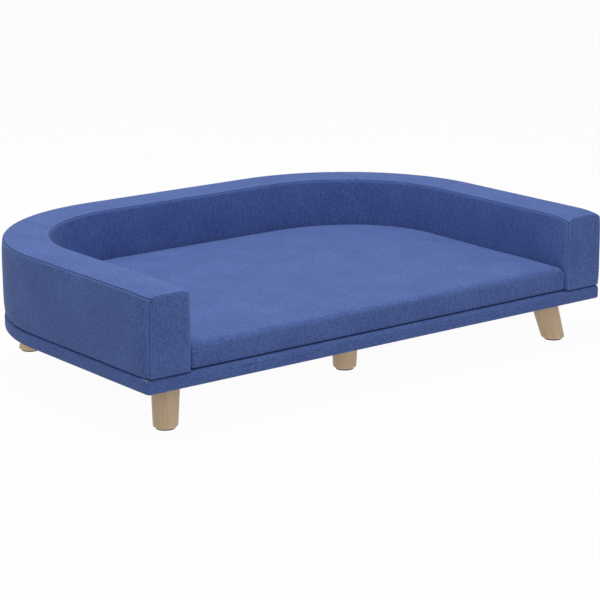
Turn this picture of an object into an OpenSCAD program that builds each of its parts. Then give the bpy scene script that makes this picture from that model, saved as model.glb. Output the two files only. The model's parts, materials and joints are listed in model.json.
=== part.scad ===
// Upholstered dog sofa bed: a low padded bolster round three sides of a platform
// on six turned legs, with a loose mattress inside it.
// The origin is on the floor under the middle of the bed. +X is the right side
// seen from the front, +Y is the back and +Z is up. Sizes are in millimetres.

/* [Overall] */
// Width of the bed across the outer seams
bed_w = 900; // [760:1:1200]
// Depth of the bed from the front edge to the rear seam
bed_d = 609; // [520:1:800]
// Outer radius of the two rear corners, at the seam
rear_corner_r = 283.5; // [200:0.5:320]

/* [Fabric] */
// Thickness of the cover fabric
cloth_t = 1; // [0.6:0.1:1.6]
// Room between a cover and the foam under it
cloth_clear = 0.3; // [0.2:0.05:0.5]

/* [Platform] */
// Thickness of the plywood board
board_t = 18; // [12:0.5:22]
// Thickness of the foam over the board and its edges
deck_pad_t = 3; // [2:0.5:6]
// Radius of the padded edge, top and bottom
deck_edge_r = 6; // [4:0.5:8]
// Radius of the front corners in plan
deck_corner_r = 10; // [8.5:0.5:16]
// Width of the fabric turned in under the board
hem_w = 45; // [30:1:70]
// Thickness of the dust cover
dust_t = 0.6; // [0.4:0.1:1]
// Distance of the dust cover's edge from the edge of the bed
dust_inset = 14; // [8:1:25]

/* [Bolster] */
// Thickness of the bolster from seam to seam
bolster_t = 73.5; // [60:0.5:100]
// Height of the bolster's seams above the platform
bolster_h = 123.5; // [90:0.5:180]
// How far the sides swell past the seams
side_bulge = 3.5; // [1:0.5:8]
// How far the top swells above the seams
top_bulge = 2.6; // [1:0.1:6]
// How far the arm fronts stand past the bed's front edge at their rolled rim
front_stand = 2; // [0:0.5:4]
// How far the middle of an arm front swells past its rim
front_crown = 1.5; // [0.5:0.5:4]
// Radius of the rolled rim round each arm front
front_seam_r = 8; // [4:0.5:11]
// Thickness of the foam on the sides of the frame
side_foam_t = 8; // [6:0.5:12]
// Thickness of the foam on the top of the frame
top_foam_t = 10; // [8:0.5:16]
// Thickness of the foam on the arm fronts
front_foam_t = 12; // [8:0.5:20]
// Width of the fabric turned in under the bolster
turn_in_w = 16; // [10:0.5:20]
// Angle of the cross seams of the top strip, from the bed's width
cross_seam_a = 52; // [20:1:70]

/* [Bolster frame] */
// Thickness of the plywood plates and end boards
ply_t = 12; // [9:0.5:16]
// Thickness of the bent side panels
panel_t = 3; // [2:0.5:4]
// Room between a bent panel and what it lies on
panel_clear = 0.2; // [0.1:0.05:0.4]
// Length of each upright post along the bolster
post_l = 40; // [25:1:60]

/* [Mattress] */
// Thickness of the mattress at its middle
mattress_t = 43; // [30:0.5:60]
// Radius of its top edge
mattress_top_r = 11; // [6:0.5:14]
// Radius of its bottom edge
mattress_low_r = 6; // [4:0.5:8]
// Radius of its front corners in plan
mattress_corner_r = 12; // [6:0.5:20]
// How much its middle stands above its rolled edge
mattress_crown = 2.4; // [0.5:0.1:6]
// Width of the band over which the crown rises
crown_band = 110; // [60:1:140]
// How far its sides swell
mattress_bulge = 1.2; // [0.4:0.1:3]
// Gap between the mattress and the arms
mattress_side_gap = 1.5; // [1:0.1:5]
// Gap between the mattress and the back of the bolster
mattress_rear_gap = 3.5; // [2:0.1:12]
// Distance of the mattress from the front edge of the bed
mattress_setback = 6.5; // [0:0.5:20]

/* [Zip] */
// Distance of the zip's ends from the rounded corners of the mattress
zip_end_gap = 16.5; // [10:0.5:60]
// Width of the zip's tape
zip_tape_w = 18; // [16:1:20]
// Thickness of the tape
zip_tape_t = 0.6; // [0.4:0.1:1]
// Width of the closed row of teeth
zip_chain_w = 5; // [4:0.1:6]
// Thickness of the closed row of teeth
zip_chain_t = 1.6; // [1.2:0.1:2]
// Distance from one tooth to the next
zip_pitch = 4; // [3:0.5:6]
// Width of the slot in the cover that shows the teeth
zip_slot_w = 11; // [10:0.5:13]
// Length of the slider
slider_l = 12; // [9:0.5:16]
// Wall of the slider round the teeth
slider_wall = 1.1; // [0.9:0.1:1.3]
// Running room of the slider round the teeth
slider_clear = 0.35; // [0.3:0.05:0.5]

/* [Legs] */
// Height of the platform's underside above the floor
leg_h = 69.2; // [50:0.1:120]
// Diameter at the top of a leg
leg_top_d = 44; // [36:0.5:55]
// Diameter at the foot of a leg
leg_foot_d = 37; // [28:0.5:45]
// Radius of the rounded rim of the foot
foot_r = 5; // [2:0.5:7]
// Slant of the four corner legs from upright
splay_a = 15.5; // [5:0.5:20]
// Heading of that slant, from the bed's width
splay_heading_a = 52; // [30:1:60]
// Distance of the front feet from the sides of the bed
front_foot_x = 58; // [40:1:120]
// Distance of the front feet from the front of the bed
front_foot_y = 45; // [36:1:120]
// Distance of the rear feet from the sides of the bed
rear_foot_x = 122; // [90:1:180]
// Distance of the rear feet from the back of the bed
rear_foot_y = 70; // [60:1:140]
// Distance of the middle legs from the front and the back of the bed
middle_foot_y = 125; // [60:1:180]
// Distance of the middle legs from the centre line, to the right
middle_foot_x = 8; // [-20:1:20]
// Diameter of the glide under a foot
glide_d = 29; // [22:0.5:34]
// Height of the glide
glide_t = 2.6; // [2:0.1:5]

/* [Fasteners] */
// Diameter of the hanger bolts of the legs
bolt_d = 8; // [6:0.5:10]
// Depth of the hanger bolts in the legs
bolt_depth = 32; // [20:1:40]
// Room round a bolt or a screw in its hole
hole_clear = 0.15; // [0.1:0.05:0.3]
// Diameter of a tee nut's barrel
nut_d = 11; // [9:0.5:14]
// Diameter of a tee nut's flange
nut_flange_d = 24; // [18:0.5:30]
// Thickness of a tee nut's flange
nut_flange_t = 1.6; // [1:0.1:2]
// Diameter of the bolster's screws
screw_d = 5; // [4:0.5:6]
// Length of the bolster's screws
screw_l = 32; // [26:1:34]
// Diameter of a screw's head
screw_head_d = 10; // [8:0.5:12]

/* [Hidden] */
$fn = 96;
// One overrun for every cut
over = 1;
// Steps along the outline of a swollen face, a rolled edge and the mattress's crown
face_steps = 12;
roll_steps = 6;
crown_steps = 4;
// How square the swollen sides and top are
side_power = 6;
top_power = 4;
round_power = 2;

// The U and the D outlines
half_w = bed_w / 2;
front_y = -bed_d / 2;
back_y = bed_d / 2;
corner_x = half_w - rear_corner_r;
corner_y = back_y - rear_corner_r;
arm_l = corner_y - front_y;
rear_start_a = 90;
side_end_a = 180;

// Heights of the layers of the platform
cover_z = leg_h + dust_t;
board_z = cover_z + cloth_t;
board_top = board_z + board_t;
pad_top = board_top + deck_pad_t;
deck_z = pad_top + cloth_t;
pad_inset = cloth_t + cloth_clear;
pad_inner = pad_inset + deck_pad_t;
board_inset = pad_inner + cloth_clear;
deck_low_r = cloth_t + deck_pad_t;

// Layers of the bolster across its thickness and above the platform
foam_inner = pad_inset + side_foam_t;
panel_d = foam_inner + panel_clear;
plate_d = panel_d + panel_t + panel_clear;
plate_w = bolster_t - 2 * plate_d;
frame_h = bolster_h - cloth_t - top_foam_t;
mid_d = bolster_t / 2;
nose_y = front_y + front_seam_r;
rim_y = front_y - front_stand;
end_board_y = front_y + front_foam_t;
plates_y = end_board_y + ply_t;
post_w = plate_w - 2 * panel_t;
post_h = frame_h - cloth_t - 2 * ply_t;

// Posts: shares of the arm's length, angles in the corners and shares of the back
arm_post_shares = [0.3, 0.72];
corner_post_angles = [112, 158];
back_post_shares = [-0.55, 0.55];

// Screws of the bolster, between the posts
arm_screw_shares = [0.16, 0.5, 0.92];
corner_screw_angles = [135];
back_screw_shares = [-0.9, 0, 0.9];
screw_hole_d = screw_d + 2 * hole_clear;
screw_head_h = (screw_head_d - screw_d) / 2;

// The mattress
mat_hw = half_w - bolster_t - side_bulge - mattress_side_gap;
mat_front = front_y + mattress_setback;
mat_back = back_y - bolster_t - side_bulge - mattress_rear_gap;
mat_r = rear_corner_r - bolster_t - side_bulge - mattress_side_gap;
mat_corner_y = mat_back - mat_r;
mat_edge_h = mattress_t - mattress_crown;
core_inset = cloth_t + cloth_clear;

// The zip lies along the flat middle of the mattress's back
zip_l = 2 * (corner_x - zip_end_gap);
zip_z = deck_z + (mattress_low_r + mat_edge_h - mattress_top_r) / 2;
zip_seat_y = mat_back - mattress_bulge - cloth_t;
zip_tape_y = zip_seat_y - zip_tape_t;
zip_pocket_y = zip_tape_y - cloth_clear;
zip_tape_l = zip_l + zip_tape_w;
slider_in_y = zip_seat_y + slider_clear;
slider_out_y = zip_seat_y + zip_chain_t + slider_clear + slider_wall;
slider_inner_w = zip_chain_w + 2 * slider_clear;
slider_w = slider_inner_w + 2 * slider_wall;
slider_start_x = -zip_l / 2 + slider_l / 2 + slider_clear;
tooth_share = 0.55;

// The legs: foot centres on the floor, and the way from a top to its foot
slant = leg_h * tan(splay_a);
leg_l = leg_h / cos(splay_a);
front_foot = [half_w - front_foot_x, bed_d / 2 - front_foot_y];
rear_foot = [half_w - rear_foot_x, bed_d / 2 - rear_foot_y];
middle_reach = bed_d / 2 - middle_foot_y;
bolt_top = board_top + nut_flange_t;
bolt_low = leg_h - bolt_depth;
bolt_tip_l = bolt_d;
bolt_hole_d = bolt_d + 2 * hole_clear;
nut_hole_d = nut_d + 2 * hole_clear;
prong_w = nut_flange_d / 8;
prong_t = nut_flange_t;
prong_l = board_t / 2;
prong_angles = [0, 90, 180, 270];

// Top centre of a corner leg whose foot is at p, on side sx and end sy
function leg_top(p, sx, sy) = [
    sx * (p[0] - slant * cos(splay_heading_a)),
    sy * (p[1] - slant * sin(splay_heading_a))
];
LEG_TOPS = [
    leg_top(front_foot, -1, -1),
    leg_top(front_foot, 1, -1),
    leg_top(rear_foot, -1, 1),
    leg_top(rear_foot, 1, 1),
    [middle_foot_x, -middle_reach],
    [middle_foot_x, middle_reach]
];

// Outlines

// Points on an arc of radius r round c, from angle a0 to a1
function arc(c, r, a0, a1) = [
    for (i = [0 : roll_steps])
        let (a = a0 + (a1 - a0) * i / roll_steps)
            c + r * [cos(a), sin(a)]
];

// Height share of a swollen face at share s of its width
function swell(s, power) = 1 - pow(abs(2 * s - 1), power);

// Share of a face's width at step i, with the steps closer near the seams
function face_share(i) = (1 - cos(180 * i / face_steps)) / 2;

// Swollen face from a to b, standing out to its left by bulge
function face(a, b, bulge, power) =
    let (along = b - a, out = [-along[1], along[0]] / norm(along))
    [
        for (i = [0 : face_steps])
            let (s = face_share(i))
                a + along * s + out * bulge * swell(s, power)
    ];

function shifted(points, by) = [for (p = points) p + by];
function turned_back(points) = [for (i = [len(points) - 1 : -1 : 0]) points[i]];
function without_last(points) = [for (i = [0 : len(points) - 2]) points[i]];
function without_ends(points) = [for (i = [1 : len(points) - 2]) points[i]];

// Faces of the bolster's section: x is the distance in from the outer seam
function outer_face() = face([0, 0], [0, bolster_h], side_bulge, side_power);
function top_face() = face([0, bolster_h], [bolster_t, bolster_h], top_bulge, top_power);
function inner_face() = face([bolster_t, bolster_h], [bolster_t, 0], side_bulge, side_power);

// Section of the bolster taken in by inset, standing inset above the platform
module bolster_section(inset) {
    tall = 2 * bolster_h;
    outer = shifted(outer_face(), [inset, 0]);
    inner = shifted(inner_face(), [-inset, 0]);
    top = shifted(top_face(), [0, -inset]);
    intersection() {
        polygon(concat(outer, [[inset, tall], [bolster_t - inset, tall]], inner));
        polygon(concat(
            [[-bolster_t, inset], [-bolster_t, bolster_h - inset]],
            top,
            [[2 * bolster_t, bolster_h - inset], [2 * bolster_t, inset]]
        ));
    }
}

// Rectangle of the bolster's section from distance d0 to d1 and height z0 to z1
module block_section(d0, d1, z0, z1) {
    translate([d0, z0])
        square([d1 - d0, z1 - z0]);
}

// Fabric of a side: its face, its back, and the strip turned in under the bolster
module side_band() {
    back = [
        for (p = shifted(outer_face(), [cloth_t, 0]))
            if (p[1] > cloth_t && p[1] < bolster_h - cloth_t) p
    ];
    polygon(concat(
        outer_face(),
        [[cloth_t, bolster_h - cloth_t]],
        turned_back(back),
        [[cloth_t, cloth_t], [turn_in_w, cloth_t], [turn_in_w, 0]]
    ));
}

// The same band on the inner side
module inner_band() {
    translate([bolster_t, 0])
        mirror([1, 0])
            side_band();
}

// Fabric of the top, mitred to the side bands at the seams
module top_band() {
    under = [
        for (p = shifted(top_face(), [0, -cloth_t]))
            if (p[0] > cloth_t && p[0] < bolster_t - cloth_t) p
    ];
    polygon(concat(
        top_face(),
        [[bolster_t - cloth_t, bolster_h - cloth_t]],
        turned_back(under),
        [[cloth_t, bolster_h - cloth_t]]
    ));
}

// Sweeps along the bed's outline: the children are sections in distance and height

// Left side from y0 to the rear corner
module side_run(y0) {
    translate([-half_w, corner_y, 0])
        rotate([90, 0, 0])
            linear_extrude(height = corner_y - y0)
                children();
}

// Left rear corner between two angles from +X
module corner_run(a0, a1) {
    translate([-corner_x, corner_y, 0])
        rotate([0, 0, a0])
            rotate_extrude(angle = a1 - a0)
                translate([rear_corner_r, 0])
                    mirror([1, 0])
                        children();
}

// Straight back edge as far as reach on both sides
module back_run(reach) {
    translate([-reach, back_y, 0])
        rotate([90, 0, 90])
            linear_extrude(height = 2 * reach)
                mirror([1, 0])
                    children();
}

// The whole U, its arms ending at y0
module u_run(y0) {
    for (side = [0, 1])
        mirror([side, 0, 0]) {
            side_run(y0)
                children();
            corner_run(rear_start_a, side_end_a)
                children();
        }
    back_run(corner_x)
        children();
}

// The D-shaped platform in plan, taken in by inset
module bed_plan(inset) {
    front_r = max(deck_corner_r - inset, 0);
    for (side = [-1, 1]) {
        translate([side * corner_x, corner_y])
            circle(rear_corner_r - inset);
        if (front_r > 0)
            translate([side * (half_w - deck_corner_r), front_y + deck_corner_r])
                circle(front_r);
    }
    translate([-corner_x, corner_y - rear_corner_r / 2])
        square([2 * corner_x, 1.5 * rear_corner_r - inset]);
    translate([-half_w + inset, front_y + inset + front_r])
        square([bed_w - 2 * inset, arm_l - inset - front_r]);
    translate([-half_w + inset + front_r, front_y + inset])
        square([bed_w - 2 * (inset + front_r), arm_l - inset]);
}

// Rim of a plate with rolled edges, as wide as the front corners' radius
module rim_section(inset, low, high) {
    high_r = deck_edge_r - inset;
    low_r = deck_low_r - inset;
    polygon(concat(
        [[deck_corner_r, high]],
        arc([inset + high_r, high - high_r], high_r, 90, 180),
        arc([inset + low_r, low + low_r], low_r, 180, 270),
        [[deck_corner_r, low]]
    ));
}

// Plate in the bed's plan with rolled edges, between two heights
module rolled_plate(inset, low, high) {
    translate([0, 0, low])
        linear_extrude(height = high - low)
            bed_plan(deck_corner_r - over);
    for (side = [0, 1])
        mirror([side, 0, 0]) {
            side_run(front_y + deck_corner_r)
                rim_section(inset, low, high);
            corner_run(rear_start_a, side_end_a)
                rim_section(inset, low, high);
            translate([-half_w + deck_corner_r, front_y + deck_corner_r, 0])
                rotate([0, 0, side_end_a])
                    rotate_extrude(angle = 90)
                        translate([deck_corner_r, 0])
                            mirror([1, 0])
                                rim_section(inset, low, high);
        }
    back_run(corner_x)
        rim_section(inset, low, high);
    mirror([0, 1, 0])
        back_run(half_w - deck_corner_r)
            rim_section(inset, low, high);
}

// Fasteners and the holes that take them

// Children at the centre of each screw of the bolster
module at_screws() {
    for (side = [0, 1])
        mirror([side, 0, 0]) {
            for (s = arm_screw_shares)
                translate([-half_w + mid_d, plates_y + s * (corner_y - plates_y), 0])
                    children();
            for (a = corner_screw_angles)
                translate([-corner_x, corner_y, 0])
                    rotate([0, 0, a])
                        translate([rear_corner_r - mid_d, 0, 0])
                            children();
        }
    for (s = back_screw_shares)
        translate([s * corner_x, back_y - mid_d, 0])
            children();
}

// Straight hole between two heights
module hole(d, low, high) {
    translate([0, 0, low - over])
        cylinder(d = d, h = high - low + 2 * over);
}

module screw() {
    translate([0, 0, board_z]) {
        cylinder(d = screw_d, h = screw_l);
        cylinder(d1 = screw_head_d, d2 = screw_d, h = screw_head_h);
    }
}

// Countersunk hole through the board
module screw_hole() {
    hole(screw_hole_d, board_z, board_top);
    translate([0, 0, board_z])
        cylinder(d1 = screw_head_d + 2 * hole_clear, d2 = screw_hole_d, h = screw_head_h);
}

// Pointed prongs of a tee nut, grown by clear for their slots
module prongs(clear) {
    for (a = prong_angles)
        translate([0, 0, board_top])
            rotate([0, 0, a])
                translate([nut_flange_d / 2 - prong_t - clear, 0, 0])
                    rotate([90, 0, 90])
                        linear_extrude(height = prong_t + 2 * clear)
                            polygon([
                                [-prong_w / 2 - clear, 0],
                                [0, -prong_l - 2 * clear],
                                [prong_w / 2 + clear, 0]
                            ]);
}

module tee_nut() {
    difference() {
        union() {
            translate([0, 0, board_z])
                cylinder(d = nut_d, h = board_t);
            translate([0, 0, board_top])
                cylinder(d = nut_flange_d, h = nut_flange_t);
            prongs(0);
        }
        hole(bolt_hole_d, board_z, bolt_top);
    }
}

module hanger_bolt() {
    translate([0, 0, bolt_low]) {
        cylinder(d1 = bolt_d / 4, d2 = bolt_d, h = bolt_tip_l);
        translate([0, 0, bolt_tip_l])
            cylinder(d = bolt_d, h = bolt_top - bolt_low - bolt_tip_l);
    }
}

// Platform

module platform_board() {
    color("burlywood")
        difference() {
            translate([0, 0, board_z])
                linear_extrude(height = board_t)
                    bed_plan(board_inset);
            at_screws()
                screw_hole();
            for (p = LEG_TOPS)
                translate([p[0], p[1], 0]) {
                    hole(nut_hole_d, board_z, board_top);
                    prongs(hole_clear);
                }
        }
}

module platform_padding() {
    color("khaki")
        difference() {
            rolled_plate(pad_inset, board_z, pad_top);
            translate([0, 0, board_z - over])
                linear_extrude(height = board_t + over)
                    bed_plan(pad_inner);
            at_screws()
                hole(screw_hole_d, board_top, pad_top);
            for (p = LEG_TOPS)
                translate([p[0], p[1], board_top - over])
                    cylinder(d = nut_flange_d + 2 * cloth_clear, h = nut_flange_t + cloth_clear + over);
        }
}

module platform_cover() {
    color("royalblue")
        difference() {
            rolled_plate(0, cover_z, deck_z);
            rolled_plate(cloth_t, board_z, pad_top);
            translate([0, 0, cover_z - over])
                linear_extrude(height = cloth_t + 2 * over)
                    bed_plan(hem_w);
            at_screws()
                hole(screw_hole_d, pad_top, deck_z);
            for (p = LEG_TOPS)
                translate([p[0], p[1], 0])
                    hole(bolt_hole_d, cover_z, board_z);
        }
}

module dust_cover() {
    color("dimgray")
        difference() {
            translate([0, 0, leg_h])
                linear_extrude(height = dust_t)
                    bed_plan(dust_inset);
            for (p = LEG_TOPS)
                translate([p[0], p[1], 0])
                    hole(bolt_hole_d, leg_h, cover_z);
        }
}

// Bolster

module bolster_base_plate() {
    color("burlywood")
        difference() {
            translate([0, 0, deck_z])
                u_run(plates_y)
                    block_section(plate_d, bolster_t - plate_d, cloth_t, cloth_t + ply_t);
            at_screws()
                hole(screw_hole_d, deck_z, deck_z + cloth_t + ply_t);
        }
}

module bolster_top_plate() {
    color("burlywood")
        translate([0, 0, deck_z])
            u_run(plates_y)
                block_section(plate_d, bolster_t - plate_d, frame_h - ply_t, frame_h);
}

// Upright block round the origin, its width along x
module post() {
    translate([-post_w / 2, -post_l / 2, deck_z + cloth_t + ply_t])
        cube([post_w, post_l, post_h]);
}

module bolster_posts() {
    color("tan") {
        for (side = [0, 1])
            mirror([side, 0, 0]) {
                for (s = arm_post_shares)
                    translate([-half_w + mid_d, plates_y + s * (corner_y - plates_y), 0])
                        post();
                for (a = corner_post_angles)
                    translate([-corner_x, corner_y, 0])
                        rotate([0, 0, a])
                            translate([rear_corner_r - mid_d, 0, 0])
                                post();
            }
        for (s = back_post_shares)
            translate([s * corner_x, back_y - mid_d, 0])
                rotate([0, 0, 90])
                    post();
    }
}

// Bent side panel that starts at distance d
module bent_panel(d) {
    color("peru")
        translate([0, 0, deck_z])
            u_run(end_board_y)
                block_section(d, d + panel_t, cloth_t, frame_h);
}

module bolster_outer_panel() {
    bent_panel(panel_d);
}

module bolster_inner_panel() {
    bent_panel(bolster_t - panel_d - panel_t);
}

module arm_end_board() {
    color("burlywood")
        translate([-half_w + plate_d, end_board_y, deck_z + cloth_t])
            cube([plate_w, ply_t, frame_h - cloth_t]);
}

module arm_end_board_left() {
    arm_end_board();
}

module arm_end_board_right() {
    mirror([1, 0, 0])
        arm_end_board();
}

// Plan of a left arm's rolled front, from the outer to the inner side
module nose_plan(inset) {
    r = front_seam_r - inset;
    low = rim_y + inset;
    x0 = -half_w - side_bulge + inset;
    x1 = -half_w + bolster_t + side_bulge - inset;
    polygon(concat(
        [[x0, nose_y]],
        arc([x0 + r, low + r], r, 180, 270),
        without_ends(face([x0 + r, low], [x1 - r, low], -front_crown, round_power)),
        arc([x1 - r, low + r], r, 270, 360),
        [[x1, nose_y]]
    ));
}

// Side view of a rolled arm front: x is the bed's y and y the height
module nose_side(inset) {
    r = front_seam_r - inset;
    low = rim_y + inset;
    high = bolster_h + top_bulge - inset;
    polygon(concat(
        [[nose_y, inset]],
        face([low, inset], [low, high - r], front_crown, round_power),
        without_ends(turned_back(arc([low + r, high - r], r, 90, 180))),
        [[low + r, high], [nose_y, high]]
    ));
}

// Solid front of the left arm, in front of the seams
module arm_nose(inset) {
    translate([0, 0, deck_z])
        intersection() {
            translate([-half_w, nose_y, 0])
                rotate([90, 0, 0])
                    linear_extrude(height = nose_y - rim_y + front_crown)
                        bolster_section(inset);
            linear_extrude(height = 2 * bolster_h)
                nose_plan(inset);
            translate([-half_w - bolster_t, 0, 0])
                rotate([90, 0, 90])
                    linear_extrude(height = 3 * bolster_t)
                        nose_side(inset);
        }
}

module bolster_foam() {
    color("khaki")
        difference() {
            union() {
                translate([0, 0, deck_z])
                    u_run(nose_y)
                        bolster_section(pad_inset);
                for (side = [0, 1])
                    mirror([side, 0, 0])
                        arm_nose(pad_inset);
            }
            translate([0, 0, deck_z])
                u_run(end_board_y)
                    block_section(foam_inner, bolster_t - foam_inner, 0, frame_h);
        }
}

module bolster_outer_cover() {
    color("royalblue")
        translate([0, 0, deck_z])
            u_run(nose_y)
                side_band();
}

module bolster_inner_cover() {
    color("mediumblue")
        translate([0, 0, deck_z])
            u_run(nose_y)
                inner_band();
}

// Top strip of the left arm as far as the cross seam
module side_strip() {
    color("cornflowerblue")
        translate([0, 0, deck_z]) {
            side_run(nose_y)
                top_band();
            corner_run(side_end_a, side_end_a - cross_seam_a)
                top_band();
        }
}

module top_strip_left() {
    side_strip();
}

module top_strip_right() {
    mirror([1, 0, 0])
        side_strip();
}

module top_strip_back() {
    color("cornflowerblue")
        translate([0, 0, deck_z]) {
            for (side = [0, 1])
                mirror([side, 0, 0])
                    corner_run(rear_start_a, side_end_a - cross_seam_a)
                        top_band();
            back_run(corner_x)
                top_band();
        }
}

module arm_front_cover() {
    color("royalblue")
        difference() {
            arm_nose(0);
            arm_nose(cloth_t);
        }
}

module arm_front_cover_left() {
    arm_front_cover();
}

module arm_front_cover_right() {
    mirror([1, 0, 0])
        arm_front_cover();
}

module bolster_screws() {
    color("silver")
        at_screws()
            screw();
}

// Mattress

// Left half of the mattress's section, reach wide: x is the distance in from its side
function mattress_edge(inset, reach) =
    let (
        low_r = mattress_low_r,
        high_r = mattress_top_r,
        side_d = mattress_bulge,
        roll_d = side_d + high_r
    )
    concat(
        arc([side_d + low_r, low_r], low_r - inset, 270, 180),
        without_ends(face(
            [side_d + inset, low_r],
            [side_d + inset, mat_edge_h - high_r],
            mattress_bulge,
            round_power
        )),
        arc([roll_d, mat_edge_h - high_r], high_r - inset, 180, 90),
        [
            for (i = [1 : crown_steps])
                let (s = i / crown_steps)
                    [
                        roll_d + s * (crown_band - roll_d),
                        mat_edge_h - inset + mattress_crown * (1 - pow(1 - s, 2))
                    ]
        ],
        [[reach, mattress_t - inset]]
    );

function half_outline(inset, reach) = concat(mattress_edge(inset, reach), [[reach, inset]]);

module half_section(inset, reach) {
    polygon(half_outline(inset, reach));
}

// The same, its inner edge on the axis and its side r away from it
module section_from_axis(inset, r) {
    polygon([for (p = half_outline(inset, r)) [r - p[0], p[1]]]);
}

// Section across the whole mattress, centred on x = 0
module full_section(inset) {
    left = shifted(without_last(mattress_edge(inset, mat_hw)), [-mat_hw, 0]);
    polygon(concat(left, turned_back([for (p = left) [-p[0], p[1]]])));
}

// Sides, rear corners and back of the mattress
module mattress_tray(inset) {
    translate([0, mat_corner_y, 0])
        rotate([90, 0, 0])
            linear_extrude(height = mat_corner_y - mat_front)
                full_section(inset);
    for (side = [0, 1])
        mirror([side, 0, 0])
            translate([-corner_x, mat_corner_y, 0])
                rotate([0, 0, rear_start_a])
                    rotate_extrude(angle = 90)
                        section_from_axis(inset, mat_r);
    translate([-corner_x, mat_back, 0])
        rotate([90, 0, 90])
            linear_extrude(height = 2 * corner_x)
                mirror([1, 0])
                    half_section(inset, mat_r);
}

// Plan that rounds the mattress's front corners, a little outside its swollen sides
module mattress_plan(inset) {
    ease = mattress_bulge / 4;
    r = mattress_corner_r - inset;
    x = mat_hw - inset - r;
    y = mat_front + inset + r;
    for (side = [-1, 1])
        translate([side * x, y])
            circle(r + ease);
    translate([-x, y - r - ease])
        square([2 * x, bed_d]);
    translate([-x - r - ease, y])
        square([2 * (x + r + ease), bed_d]);
}

// Mattress taken in by inset
module mattress_form(inset) {
    translate([0, 0, deck_z])
        intersection() {
            mattress_tray(inset);
            translate([-bed_w, mat_front, 0])
                rotate([90, 0, 90])
                    linear_extrude(height = 2 * bed_w)
                        half_section(inset, bed_d);
            linear_extrude(height = 2 * mattress_t)
                mattress_plan(inset);
        }
}

// Upright slab at the back of the mattress, centred on the zip
module zip_slab(l, w, y0, y1) {
    translate([-l / 2, y0, zip_z - w / 2])
        cube([l, y1 - y0, w]);
}

module mattress_foam() {
    color("khaki")
        difference() {
            mattress_form(core_inset);
            zip_slab(
                zip_tape_l + 2 * cloth_clear,
                zip_tape_w + 2 * cloth_clear,
                zip_pocket_y,
                mat_back + over
            );
        }
}

module mattress_cover() {
    color("royalblue")
        difference() {
            mattress_form(0);
            mattress_form(cloth_t);
            zip_slab(zip_l, zip_slot_w, zip_seat_y, mat_back + over);
        }
}

module zip_tape() {
    color("darkblue")
        zip_slab(zip_tape_l, zip_tape_w, zip_tape_y, zip_seat_y);
}

// Closed row of teeth: a spine with a tooth at every pitch
module zip_teeth() {
    spine_w = zip_chain_w / 3;
    count = floor(zip_l / zip_pitch) - 1;
    color("navy") {
        zip_slab(zip_l - zip_pitch, spine_w, zip_seat_y, zip_seat_y + zip_chain_t);
        for (i = [0 : count - 1])
            translate([(i - (count - 1) / 2) * zip_pitch, 0, 0])
                zip_slab(
                    zip_pitch * tooth_share,
                    zip_chain_w,
                    zip_seat_y,
                    zip_seat_y + zip_chain_t
                );
    }
}

// Cap that runs over the teeth
module zip_slider() {
    color("silver")
        translate([slider_start_x, 0, 0])
            difference() {
                zip_slab(slider_l, slider_w, slider_in_y, slider_out_y);
                zip_slab(
                    slider_l + 2 * over,
                    slider_inner_w,
                    slider_in_y - over,
                    slider_out_y - slider_wall
                );
            }
}

// Legs

// Wood of a corner leg whose top centre is at the origin and whose foot is towards +x
module slanted_leg() {
    lean = foot_r * tan(splay_a) / 2;
    rim_r = leg_foot_d / 2 + lean;
    difference() {
        intersection() {
            translate([slant, 0, 0])
                rotate([0, -splay_a, 0])
                    translate([0, 0, -leg_foot_d / 2])
                        taper(leg_l + leg_foot_d);
            translate([slant - lean, 0, 0])
                rotate_extrude()
                    polygon(concat(
                        [[0, glide_t]],
                        arc([rim_r - foot_r, glide_t + foot_r], foot_r, 270, 360),
                        [[rim_r + leg_h, leg_h], [0, leg_h]]
                    ));
        }
        leg_hole();
    }
}

// Cone of the leg's taper, l long, whose foot diameter is leg_foot_d / 2 above its end
module taper(l) {
    grow = (leg_top_d - leg_foot_d) / leg_l;
    cylinder(
        d1 = leg_foot_d - grow * leg_foot_d / 2,
        d2 = leg_foot_d + grow * (l - leg_foot_d / 2),
        h = l
    );
}

module leg_hole() {
    translate([0, 0, bolt_low - hole_clear])
        cylinder(d = bolt_hole_d, h = bolt_depth + over);
}

module corner_leg(i, heading) {
    color("wheat")
        translate([LEG_TOPS[i][0], LEG_TOPS[i][1], 0])
            rotate([0, 0, heading])
                slanted_leg();
}

module middle_leg(i) {
    rim_r = leg_foot_d / 2;
    color("wheat")
        translate([LEG_TOPS[i][0], LEG_TOPS[i][1], 0])
            difference() {
                rotate_extrude()
                    polygon(concat(
                        [[0, glide_t]],
                        arc([rim_r - foot_r, glide_t + foot_r], foot_r, 270, 360),
                        [[leg_top_d / 2, leg_h], [0, leg_h]]
                    ));
                leg_hole();
            }
}

// Glide under the foot at p
module glide(p) {
    color("black")
        translate([p[0], p[1], 0])
            cylinder(d = glide_d, h = glide_t);
}

// Foot centre of a corner leg on side sx and end sy
function foot_at(p, sx, sy) = [sx * p[0], sy * p[1]];

module leg_front_left() {
    corner_leg(0, 180 + splay_heading_a);
}

module leg_front_right() {
    corner_leg(1, -splay_heading_a);
}

module leg_rear_left() {
    corner_leg(2, 180 - splay_heading_a);
}

module leg_rear_right() {
    corner_leg(3, splay_heading_a);
}

module leg_front_middle() {
    middle_leg(4);
}

module leg_rear_middle() {
    middle_leg(5);
}

module glide_front_left() {
    glide(foot_at(front_foot, -1, -1));
}

module glide_front_right() {
    glide(foot_at(front_foot, 1, -1));
}

module glide_rear_left() {
    glide(foot_at(rear_foot, -1, 1));
}

module glide_rear_right() {
    glide(foot_at(rear_foot, 1, 1));
}

module glide_front_middle() {
    glide(LEG_TOPS[4]);
}

module glide_rear_middle() {
    glide(LEG_TOPS[5]);
}

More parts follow.
